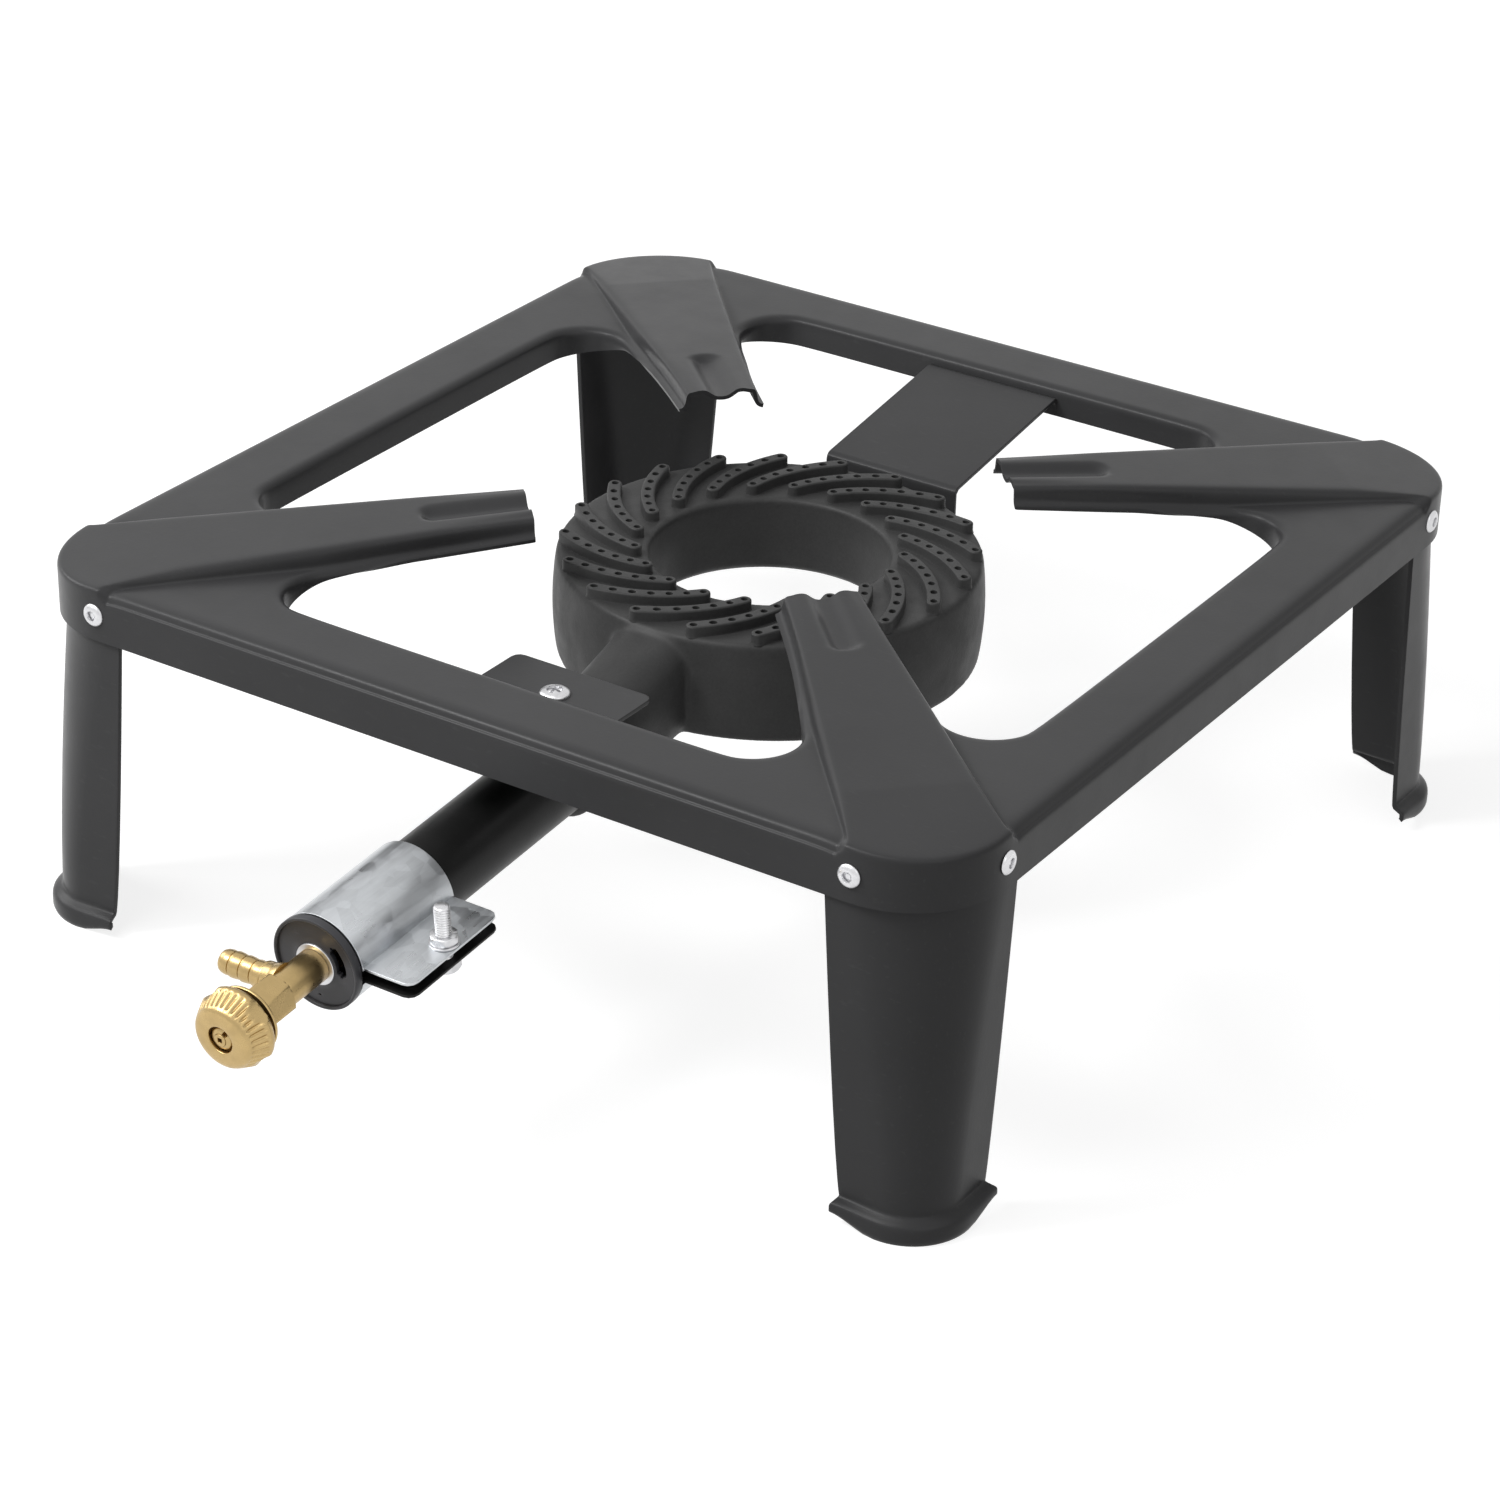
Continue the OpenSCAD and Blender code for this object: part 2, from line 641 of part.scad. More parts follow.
module ribs() {
    translate([0, 0, deck_z - over]) linear_extrude(rib_h + over)
        for (k = [0:rib_n - 1]) rotate(rib_turn + 360 * k / rib_n) rib_outline();
}

module ports() {
    translate([0, 0, deck_z - cast_wall - over]) linear_extrude(cast_wall + rib_h + 2 * over)
        for (k = [0:rib_n - 1]) rotate(rib_turn + 360 * k / rib_n)
            for (p = [0:port_n - 1]) translate(rib_pt(p / (port_n - 1))) circle(d = port_d, $fn = 16);
}

// Point on the feed line, as y and z
function feed_yz(s) = [-half_w - s * cos(feed_pitch), feed_z - s * sin(feed_pitch)];

module rod(from, to, r1, r2) {
    d = to - from;
    translate([0, from.x, from.y]) rotate([atan2(d.y, d.x) - 90, 0, 0])
        cylinder(h = norm(d), r1 = r1, r2 = r2, $fn = fine);
}

module neck_fairing() {
    low = burner_z + neck_edge_r;
    high = deck_z - cast_edge - neck_edge_r;
    hull() {
        for (x = [-1, 1], z = [low, high])
            translate([x * (neck_half_w - neck_edge_r), neck_root_y, z]) rotate([90, 0, 0])
                cylinder(r = neck_edge_r, h = over, $fn = 32);
        rod(feed_yz(tube_in_s), feed_yz(tube_in_s + neck_lip_l), socket_r + neck_lip, socket_r + neck_lip);
    }
}

module burner_casting() {
    chamber_mid = [neck_root_y, mix(burner_z, deck_z, 0.45)];
    color(iron_black) placed() difference() {
        union() {
            at_ring() rotate_extrude($fn = 96) ring_section();
            at_ring() ribs();
            neck_fairing();
            rod(feed_yz(tube_in_s), feed_yz(socket_s), socket_r, socket_r);
            translate([0, bracket_screw_y, feed_z])
                cylinder(r = boss_r, h = bracket_z - strap_t - feed_z, $fn = fine);
            translate([0, rear_face_y, strap_screw_z]) rotate([90, 0, 0])
                cylinder(r = rear_boss_r, h = rear_boss_l + rim_wall / 2, $fn = fine);
        }
        at_ring() rotate_extrude($fn = 96) chamber_section();
        at_ring() ports();
        rod(feed_yz(tube_in_s), feed_yz(socket_s + over), tube_r + fit, tube_r + fit);
        rod(feed_yz(tube_in_s + over), chamber_mid, throat_r, throat_r);
        translate([0, bracket_screw_y, bracket_z - screw_l - over])
            cylinder(r = screw_d / 2 + thread_fit, h = screw_l + over, $fn = fine);
        translate([0, rear_face_y + over, strap_screw_z]) rotate([90, 0, 0])
            cylinder(r = screw_d / 2 + thread_fit, h = screw_l, $fn = fine);
    }
}

// Front bracket: a plate under the rail with a tab up the skirt
module rounded_plan(w, from, to, r) {
    polygon(concat(
        [[-w / 2, from], [w / 2, from]],
        [for (a = [0:30:90]) [w / 2 - r + r * cos(a), to - r + r * sin(a)]],
        [for (a = [90:30:180]) [-w / 2 + r + r * cos(a), to - r + r * sin(a)]]
    ));
}

module across_profile(points) {
    translate([-strap_w / 2, 0, 0]) rotate([90, 0, 90]) linear_extrude(strap_w) polygon(points);
}

module front_bracket() {
    back = -(half_w - sheet - fit);
    edge = bracket_l - half_w;
    low = bracket_z - strap_t;
    color(enamel_black) placed() difference() {
        intersection() {
            across_profile([[back, low], [edge, low], [edge, bracket_z], [back + strap_t, bracket_z],
                            [back + strap_t, bracket_z + tab_h], [back, bracket_z + tab_h]]);
            translate([0, 0, low - over]) linear_extrude(strap_t + tab_h + 2 * over)
                rounded_plan(strap_w, back - over, edge, strap_edge_r);
        }
        translate([0, bracket_screw_y, low - over])
            cylinder(r = screw_d / 2 + thread_fit, h = strap_t + 2 * over, $fn = fine);
    }
}

// Pan-head screw with a cross recess: local Z points out of the head, 0 under the head
module pan_screw() {
    difference() {
        union() {
            translate([0, 0, -screw_l]) cylinder(r = screw_d / 2, h = screw_l, $fn = fine);
            rotate_extrude($fn = fine) polygon([for (p = screw_head_shares) [p.x * screw_head_r, p.y * screw_head_h]]);
        }
        for (a = [0, 90]) rotate(a) translate([0, 0, screw_head_h])
            cube([screw_head_r, screw_head_h / 4, screw_head_h], center = true);
    }
}
module front_bracket_screw() {
    color(zinc_bright) placed() translate([0, bracket_screw_y, bracket_z]) pan_screw();
}

// Rear strap: end bent down behind the ring, sloping run, tab bent down against the rear flange
module rear_strap() {
    front = rear_face_y;
    end = inner_half - fit;
    top = strap_z + strap_rise;
    bend = strap_bend_r;
    color(enamel_black) placed() difference() {
        across_profile(concat(
            [[front + strap_t, strap_z - strap_drop], [front, strap_z - strap_drop]],
            [for (a = [180:-30:90]) [front + bend + bend * cos(a), strap_z - bend + bend * sin(a)]],
            [for (a = [90:-30:0]) [end - bend + bend * cos(a), top - bend + bend * sin(a)]],
            [[end, top - tab_h], [end - strap_t, top - tab_h], [end - strap_t, top - bend],
             [end - bend, top - strap_t], [front + bend, strap_z - strap_t], [front + strap_t, strap_z - bend]]
        ));
        translate([0, front + strap_t + over, strap_screw_z]) rotate([90, 0, 0])
            cylinder(r = screw_d / 2 + thread_fit, h = strap_t + 2 * over, $fn = fine);
    }
}

module rear_strap_screw() {
    color(zinc_bright) placed() translate([0, rear_face_y + strap_t, strap_screw_z]) rotate([-90, 0, 0])
        pan_screw();
}

module mixing_tube() {
    color(tube_black) difference() {
        along(tube_in_s, tube_reach) ring(tube_r, bore_r);
        feed() translate([-window_w / 2, -tube_d, window_s]) cube([window_w, 2 * tube_d, window_l]);
    }
}

// A clamping ear: a flat plate beside the tube with two rounded corners
module ear(low_y) {
    feed() translate([0, low_y + shutter_t, ear_s]) rotate([90, 0, 0]) linear_extrude(shutter_t) polygon(concat(
        [[tube_r, 0]],
        [for (a = [-90:30:0]) [ear_reach - ear_round + ear_round * cos(a), ear_round + ear_round * sin(a)]],
        [for (a = [0:30:90])
            [ear_reach - ear_round + ear_round * cos(a), ear_l - ear_round + ear_round * sin(a)]],
        [[tube_r, ear_l]]
    ));
}

module ear_hole(low_y) {
    feed() translate([clamp_x, low_y - over, clamp_s]) rotate([-90, 0, 0])
        cylinder(r = clamp_d / 2 + fit, h = shutter_t + 2 * over, $fn = fine);
}

module air_sleeve() {
    color(zinc_bright) difference() {
        union() {
            along(sleeve_s, sleeve_s + sleeve_l) difference() {
                ring(sleeve_r, sleeve_r - shutter_t);
                translate([0, lower_ear_y - lip_gap]) square([ear_reach, ear_gap + shutter_t + lip_gap]);
            }
            ear(ear_lift);
        }
        along(sleeve_s - over, sleeve_s + sleeve_l + over) circle(r = sleeve_r - shutter_t, $fn = fine);
        ear_hole(ear_lift);
    }
}

module sleeve_liner() {
    color(tube_black) difference() {
        union() {
            along(sleeve_s, sleeve_s + sleeve_l) difference() {
                ring(liner_r, liner_r - shutter_t);
                translate([0, lower_ear_y + shutter_t]) square([ear_reach, ear_gap - lip_gap]);
            }
            ear(lower_ear_y);
        }
        along(sleeve_s - over, sleeve_s + sleeve_l + over) circle(r = liner_r - shutter_t, $fn = fine);
        ear_hole(lower_ear_y);
    }
}

// Clamp parts stand upright through the ears
module at_clamp(y) { feed() translate([clamp_x, y, clamp_s]) rotate([-90, 0, 0]) children(); }

module clamp_bolt() {
    color(zinc_bright) at_clamp(lower_ear_y) {
        cylinder(r = clamp_d / 2, h = clamp_top - lower_ear_y, $fn = fine);
        translate([0, 0, -clamp_head_h]) linear_extrude(clamp_head_h) hexagon(clamp_af);
    }
}

module clamp_washer() {
    color(zinc_bright) at_clamp(ear_lift + shutter_t)
        linear_extrude(clamp_washer_t) ring(clamp_washer_r, clamp_d / 2 + fit);
}

module clamp_nut() {
    color(zinc_bright) at_clamp(ear_lift + shutter_t + clamp_washer_t) linear_extrude(clamp_nut_h) difference() {
        hexagon(clamp_af);
        circle(r = clamp_d / 2 + fit, $fn = fine);
    }
}

// End disc with a rim, two kidney air holes and a spigot in the tube
module kidney() {
    for (k = [0, 180]) rotate(k) polygon(concat(
        [for (a = [kidney_from:arc_step:kidney_to]) kidney_out * [cos(a), sin(a)]],
        [for (a = [kidney_to:-arc_step:kidney_from]) kidney_in * [cos(a), sin(a)]]
    ));
}

module end_disc() {
    color(disc_grey) difference() {
        union() {
            along(disc_s, disc_s + disc_t) circle(r = disc_d / 2, $fn = fine);
            along(disc_s, disc_s + disc_rim_h) ring(disc_d / 2, disc_d / 2 - disc_rim_w);
            along(disc_s - disc_spigot_l, disc_s + over / 2) ring(bore_r - fit, bore_r - fit - disc_rim_w);
        }
        along(disc_s - disc_spigot_l - over, disc_s + disc_rim_h) kidney();
        along(disc_s - over, disc_s + disc_rim_h) circle(r = spud_d / 2 + fit, $fn = fine);
        along(disc_s - disc_spigot_l - over, disc_s + disc_rim_h) translate([0, drain_y])
            circle(r = drain_r, $fn = 16);
    }
}

module spud_washer() { color(zinc_bright) along(disc_s + disc_t, barrel_s) ring(washer_r, spud_d / 2 + fit); }

module spud_locknut() {
    color(brass_yellow) along(disc_s - locknut_h, disc_s) difference() {
        hexagon(locknut_af);
        circle(r = spud_d / 2 + fit, $fn = fine);
    }
}

module injector_jet() {
    color(brass_yellow) difference() {
        union() {
            along(spud_s - jet_head_h, spud_s) hexagon(jet_af);
            along(spud_s - over / 2, spud_s + jet_l) circle(r = jet_r, $fn = fine);
        }
        along(spud_s - jet_head_h - over, spud_s - jet_head_h + over) circle(r = jet_hole_r, $fn = 16);
        along(spud_s - jet_head_h + over / 2, spud_s + jet_l + over) circle(r = jet_r / 2, $fn = fine);
    }
}

// Needle valve body: thread, barrel, hexagon and gland thread in one turned piece
module valve_body() {
    color(brass_yellow) difference() {
        union() {
            along(spud_s, barrel_s + over) circle(r = spud_d / 2, $fn = fine);
            along(barrel_s, hex_s + over) circle(r = barrel_d / 2, $fn = fine);
            along(hex_s, thread_s) hexagon(hex_af);
            along(thread_s - over, thread_s + thread_l) circle(r = thread_r, $fn = fine);
            feed() translate([0, 0, barb_s]) rotate([0, -90, 0])
                cylinder(r = boss_outer_r, h = boss_x, $fn = fine);
        }
        along(spud_s - over, spud_s + jet_l + over) circle(r = jet_r + run_fit, $fn = fine);
        along(spud_s + jet_l, seat_s + seat_l + over) circle(r = seat_r, $fn = fine);
        along(seat_s + seat_l, hex_s) circle(r = gas_r, $fn = fine);
        along(hex_s - over, thread_s + thread_l) circle(r = spindle_r + run_fit, $fn = fine);
        along(thread_s + thread_l - packing_l - fit, thread_s + thread_l + over)
            circle(r = packing_r, $fn = fine);
        feed() translate([-boss_x + spigot_l, 0, barb_s]) rotate([0, -90, 0])
            cylinder(r = spigot_r + run_fit, h = spigot_l + over, $fn = fine);
        feed() translate([0, 0, barb_s]) rotate([0, -90, 0])
            cylinder(r = barb_bore_d / 2, h = boss_x, $fn = fine);
    }
}

// Hose barb: a spigot in the valve's side boss, a shoulder and saw-tooth ridges
module hose_barb() {
    tip_r = barb_d / 2 * 0.84;
    run = (barb_reach - boss_x) / (barb_n + 1);
    teeth = [for (k = [0:barb_n - 1]) each [
        [barb_d / 2, boss_x + run * (k + 1)], [tip_r, boss_x + run * (k + 1) + run / 8]]];
    color(brass_yellow) feed() translate([0, 0, barb_s]) rotate([0, -90, 0]) rotate_extrude($fn = fine)
        polygon(concat(
            [[barb_bore_d / 2, boss_x - spigot_l + fit], [spigot_r, boss_x - spigot_l + fit],
             [spigot_r, boss_x], [boss_outer_r, boss_x], [boss_outer_r, boss_x + run / 4],
             [tip_r, boss_x + run / 3]],
            teeth,
            [[tip_r, barb_reach - run / 8], [tip_r - run / 8, barb_reach], [barb_bore_d / 2, barb_reach]]
        ));
}

module gland_packing() {
    color(packing_white) along(thread_s + thread_l - packing_l, thread_s + thread_l)
        ring(packing_r - fit, spindle_r + run_fit);
}

module gland_nut() {
    color(brass_yellow) difference() {
        union() {
            along(thread_s + fit, thread_s + thread_l + fit + gland_end_t) hexagon(gland_af);
            along(gland_flange_s, gland_flange_s + gland_flange_t) circle(r = gland_flange_r, $fn = fine);
        }
        along(thread_s - over, thread_s + thread_l + fit) circle(r = thread_r + run_fit, $fn = fine);
        along(thread_s, thread_s + thread_l + fit + gland_end_t + over) circle(r = spindle_r + run_fit, $fn = fine);
    }
}

// Needle tip, shank and the stepped nose that carries the knob
module valve_spindle() {
    shoulder = face_s - knob_recess_l;
    tip = seat_s + seat_l;
    color(brass_yellow) feed() rotate_extrude($fn = fine) polygon([
        [0, tip - needle_l / 4], [seat_r / 2, tip - needle_l / 4], [seat_r, tip + needle_l / 4],
        [spindle_r, tip + needle_l], [spindle_r, shoulder], [spindle_nose_r, shoulder],
        [spindle_nose_r, shoulder + spindle_nose_l - pin_r / 2],
        [spindle_nose_r - pin_r / 2, shoulder + spindle_nose_l],
        [pin_r, shoulder + spindle_nose_l], [pin_r, shoulder + spindle_nose_l - pin_l],
        [0, shoulder + spindle_nose_l - pin_l]
    ]);
}

// Hand knob: hollow behind, rounded face, fine flutes and broad finger scallops
module control_knob() {
    knob_r = knob_d / 2;
    wide_s = face_s - knob_l * 0.75;
    slope = atan2(knob_r - knob_face_r, knob_l * 0.75);
    color(brass_yellow) difference() {
        feed() rotate_extrude($fn = fine) polygon([
            [spindle_r + run_fit, knob_s + knob_cavity_l], [knob_cavity_r, knob_s + knob_cavity_l],
            [knob_cavity_r, knob_s], [knob_r - knob_back_chamfer, knob_s],
            [knob_r, wide_s], [mix(knob_r, knob_face_r, 0.8), face_s - knob_l * 0.22],
            [mix(knob_r, knob_face_r, 0.93), face_s - knob_l * 0.08], [knob_flat_r, face_s],
            [knob_recess_r, face_s], [knob_recess_r, face_s - knob_recess_l],
            [spindle_r + run_fit, face_s - knob_recess_l]
        ]);
        for (k = [0:flute_n - 1]) feed() rotate(360 * k / flute_n)
            translate([knob_r, 0, wide_s - knob_l * 0.1]) rotate([0, -slope, 0])
                cylinder(r = flute_r, h = knob_l * 0.62, $fn = 16);
        for (k = [0:scallop_n - 1]) feed() rotate(360 * (k + 0.5) / scallop_n)
            translate([knob_r + scallop_r - scallop_depth, 0, knob_s - over])
                cylinder(r = scallop_r, h = knob_l + 2 * over, $fn = fine);
    }
}

module knob_nut() {
    low = face_s - knob_recess_l;
    color(brass_yellow) difference() {
        along(low, low + knob_nut_l) ring(knob_nut_r, spindle_nose_r + run_fit);
        along(low + knob_nut_l / 2, low + knob_nut_l + over)
            translate([-knob_slot_w / 2, 0]) square([knob_slot_w, knob_nut_r + over]);
    }
}

top_frame();
leg_front_left();
leg_front_right();
leg_rear_right();
leg_rear_left();
leg_rivets();
burner_casting();
front_bracket();
front_bracket_screw();
rear_strap();
rear_strap_screw();
mixing_tube();
air_sleeve();
sleeve_liner();
clamp_bolt();
clamp_washer();
clamp_nut();
end_disc();
spud_washer();
spud_locknut();
injector_jet();
valve_body();
hose_barb();
gland_packing();
gland_nut();
valve_spindle();
control_knob();
knob_nut();
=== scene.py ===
import json
from math import cos, hypot, pi, radians, sin, sqrt

import bmesh
import bpy
import numpy as np
from mathutils import Matrix, Vector


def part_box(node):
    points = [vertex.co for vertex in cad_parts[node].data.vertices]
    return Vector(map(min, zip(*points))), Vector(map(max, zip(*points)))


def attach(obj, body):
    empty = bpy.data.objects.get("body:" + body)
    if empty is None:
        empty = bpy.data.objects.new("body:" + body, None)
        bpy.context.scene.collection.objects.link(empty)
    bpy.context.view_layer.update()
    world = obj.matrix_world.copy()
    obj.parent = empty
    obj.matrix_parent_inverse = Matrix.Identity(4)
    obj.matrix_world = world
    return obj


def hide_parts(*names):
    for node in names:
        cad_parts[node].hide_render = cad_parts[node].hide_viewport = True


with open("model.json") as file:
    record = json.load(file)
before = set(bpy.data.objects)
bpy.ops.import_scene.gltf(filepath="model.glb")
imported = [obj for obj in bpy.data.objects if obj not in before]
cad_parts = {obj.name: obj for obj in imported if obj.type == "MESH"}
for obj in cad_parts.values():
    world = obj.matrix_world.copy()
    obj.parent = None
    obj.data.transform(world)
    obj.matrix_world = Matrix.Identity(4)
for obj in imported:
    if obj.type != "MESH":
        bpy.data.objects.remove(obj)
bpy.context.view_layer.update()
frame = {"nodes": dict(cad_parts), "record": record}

nodes = frame["nodes"]
mm = 0.001
frameLow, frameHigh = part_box("top_frame")
middleY = (frameLow.y + frameHigh.y) / 2  # the square's own middle stands a little behind the origin
halfWide = (frameHigh.x - frameLow.x) / 2 / mm
feedLine = {"pitch": radians(5), "y": -200, "z": 90}  # the gas line falls towards the knob
print("frame loaded")

# Camera: where the photographer stood, as a turn round the square's middle

cameraSet = {
    "azimuth": 32.68,
    "elevation": 28.37,
    "roll": 1.45,
    "right": 3.91,  # mm, then up and back along the camera's own axes
    "up": -38.57,
    "distance": 1645.91,
    "lens": 99.866,
    "sensor": 36,
    "clip": (0.01, 100),
}


def newObject(name, data):
    made = bpy.data.objects.new(name, data)
    bpy.context.scene.collection.objects.link(made)
    return made


def makeCamera(c):
    a, e, r = (radians(c[k]) for k in ("azimuth", "elevation", "roll"))
    back = Vector((sin(a) * cos(e), -cos(a) * cos(e), sin(e)))
    right = Vector((cos(a), sin(a), 0))
    up = back.cross(right)
    axes = [right * cos(r) + up * sin(r), up * cos(r) - right * sin(r), back]
    shift = (c["right"], c["up"], -c["distance"])
    eye = -sum((axis * s * mm for axis, s in zip(axes, shift)), Vector())
    data = bpy.data.cameras.new("camera")
    data.lens = c["lens"]
    data.sensor_fit = "HORIZONTAL"
    data.sensor_width = c["sensor"]
    data.clip_start, data.clip_end = c["clip"]
    camera = newObject("camera", data)
    place = Matrix.Translation(eye + Vector((0, middleY, 0)))
    camera.matrix_world = place @ Matrix(axes).transposed().to_4x4()
    bpy.context.scene.camera = camera


makeCamera(cameraSet)

# Small helpers for node trees


def addNode(tree, kind, **values):
    node = tree.nodes.new(kind)
    for key, value in values.items():
        setattr(node, key, value)
    return node


def feed(tree, value, target):
    if isinstance(value, (int, float)):
        target.default_value = value
    else:
        tree.links.new(value, target)


def setInputs(node, **values):
    for key, value in values.items():
        node.inputs[key.replace("_", " ")].default_value = value


def mathNode(tree, operation, a, b):
    node = addNode(tree, "ShaderNodeMath", operation=operation)
    feed(tree, a, node.inputs[0])
    feed(tree, b, node.inputs[1])
    return node.outputs[0]


def plus(tree, a, b):
    return mathNode(tree, "ADD", a, b)


def minus(tree, a, b):
    return mathNode(tree, "SUBTRACT", a, b)


def times(tree, a, b):
    return mathNode(tree, "MULTIPLY", a, b)


def rampNode(tree, factor, low, high, lowValue=0, highValue=1):
    node = addNode(tree, "ShaderNodeMapRange", clamp=True)
    feed(tree, factor, node.inputs["Value"])
    for key, value in (("From Min", low), ("From Max", high), ("To Min", lowValue), ("To Max", highValue)):
        feed(tree, value, node.inputs[key])
    return node.outputs[0]


def noiseNode(tree, place, scale, detail=3, roughness=0.55):
    node = addNode(tree, "ShaderNodeTexNoise")
    setInputs(node, Detail=detail, Roughness=roughness)
    feed(tree, scale, node.inputs["Scale"])
    feed(tree, place, node.inputs["Vector"])
    return node.outputs["Fac"]


def stretched(tree, place, along, turn=(0, 0, 0)):
    node = addNode(tree, "ShaderNodeMapping", vector_type="POINT")
    setInputs(node, Scale=along, Rotation=turn)
    feed(tree, place, node.inputs["Vector"])
    return node.outputs["Vector"]


def newGroup(name, values):
    tree = bpy.data.node_groups.new(name, "ShaderNodeTree")
    for label, kind in (("Place", "Vector"), ("Colour", "Color")):
        tree.interface.new_socket(name=label, in_out="INPUT", socket_type="NodeSocket" + kind)
    for label, value in values.items():
        socket = tree.interface.new_socket(name=label, in_out="INPUT", socket_type="NodeSocketFloat")
        socket.default_value = value
    for label, kind in (("Colour", "Color"), ("Roughness", "Float"), ("Height", "Float")):
        tree.interface.new_socket(name=label, in_out="OUTPUT", socket_type="NodeSocket" + kind)
    return tree, addNode(tree, "NodeGroupInput").outputs, addNode(tree, "NodeGroupOutput").inputs


def join(tree, inputs, **values):
    for name, value in values.items():
        tree.links.new(value, inputs[name.replace("_", " ")])


def shaded(tree, colour, value):
    node = addNode(tree, "ShaderNodeHueSaturation")
    feed(tree, colour, node.inputs["Color"])
    feed(tree, value, node.inputs["Value"])
    return node.outputs["Color"]


def mixed(tree, factor, a, b):
    node = addNode(tree, "ShaderNodeMix", data_type="RGBA")
    feed(tree, factor, node.inputs["Factor"])
    join(tree, node.inputs, A=a, B=b)
    return node.outputs["Result"]


# Paint: soft tone changes, orange peel and the fine rub marks of a stacked, sprayed pressing
# A noise is given by scale, detail and roughness, a ramp by its ends and then its values

paintSet = {
    "inputs": {"Tone Spread": 0.12, "Peel Scale": 700, "Peel": 1, "Rub": 0.4, "Roughness": 0.4},
    "broad": (11, 4),
    "toneEnds": (0.25, 0.75),
    "rubStretch": (160, 900, 500),
    "rubEnds": (0.62, 0.74),
    "rubTone": 0.6,
    "rubRough": 0.12,
    "dust": (55, 5, 0.65),
    "dustRough": (0.35, 0.75, -0.035, 0.05),
}


def paintGroup(s):
    tree, given, leave = newGroup("sprayedPaint", s["inputs"])
    place, spread = given["Place"], given["Tone Spread"]
    broad = noiseNode(tree, place, *s["broad"])
    darkest = minus(tree, 1, spread)
    tone = rampNode(tree, broad, *s["toneEnds"], darkest, plus(tree, 1, spread))
    rubs = noiseNode(tree, stretched(tree, place, s["rubStretch"]), 1, 2)
    rubMask = times(tree, rampNode(tree, rubs, *s["rubEnds"]), given["Rub"])
    rough = rampNode(tree, noiseNode(tree, place, *s["dust"]), *s["dustRough"])
    rough = plus(tree, given["Roughness"], rough)
    peel = noiseNode(tree, place, given["Peel Scale"], 2)
    rubbed = plus(tree, 1, times(tree, rubMask, s["rubTone"]))
    join(tree, leave, Colour=shaded(tree, shaded(tree, given["Colour"], tone), rubbed),
         Roughness=plus(tree, rough, times(tree, rubMask, s["rubRough"])),
         Height=times(tree, peel, given["Peel"]))
    return tree


# Cast skin: sand grain, pits and a tone that follows them

castSet = {
    "inputs": {"Grain Scale": 900, "Roughness": 0.6},
    "lumps": (95, 4, 0.6),
    "broad": (22, 3),
    "pitScale": 420,
    "pitRamp": (0, 0.28, 1, 0),
    "grainHigh": 0.6,
    "lumpHigh": 1.4,
    "pitDeep": 0.25,
    "broadTone": (0.3, 0.7, 0.82, 1.15),
    "grainTone": (0.3, 0.75, -0.1, 0.14),
    "lumpRough": (0.3, 0.7, -0.06, 0.08),
}


def castGroup(s):
    tree, given, leave = newGroup("castSkin", s["inputs"])
    place = given["Place"]
    grain = noiseNode(tree, place, given["Grain Scale"], 4, 0.7)
    lumps = noiseNode(tree, place, *s["lumps"])
    broad = noiseNode(tree, place, *s["broad"])
    pits = addNode(tree, "ShaderNodeTexVoronoi", feature="F1")
    setInputs(pits, Scale=s["pitScale"])
    feed(tree, place, pits.inputs["Vector"])
    pitMask = rampNode(tree, pits.outputs["Distance"], *s["pitRamp"])
    height = plus(tree, times(tree, grain, s["grainHigh"]), times(tree, lumps, s["lumpHigh"]))
    height = minus(tree, height, times(tree, pitMask, s["pitDeep"]))
    tone = plus(tree, rampNode(tree, broad, *s["broadTone"]), rampNode(tree, grain, *s["grainTone"]))
    rough = plus(tree, given["Roughness"], rampNode(tree, lumps, *s["lumpRough"]))
    colour = shaded(tree, given["Colour"], tone)
    join(tree, leave, Colour=colour, Roughness=rough, Height=height)
    return tree


# Zinc: crystals of the galvanising bath, rolling streaks and dull smears

zincSet = {
    "inputs": {"Spangle Scale": 170, "Spangle": 0.12, "Streak": 0.15, "Roughness": 0.3},
    "streakStretch": (700, 24, 700),
    "streakTone": 1.6,
    "smearStretch": (60, 22, 60),
    "smearTone": (0.35, 0.7, -0.16, 0.05),
    "smearRough": (0.35, 0.7, 0.12, -0.03),
    "cellHigh": 0.8,
}


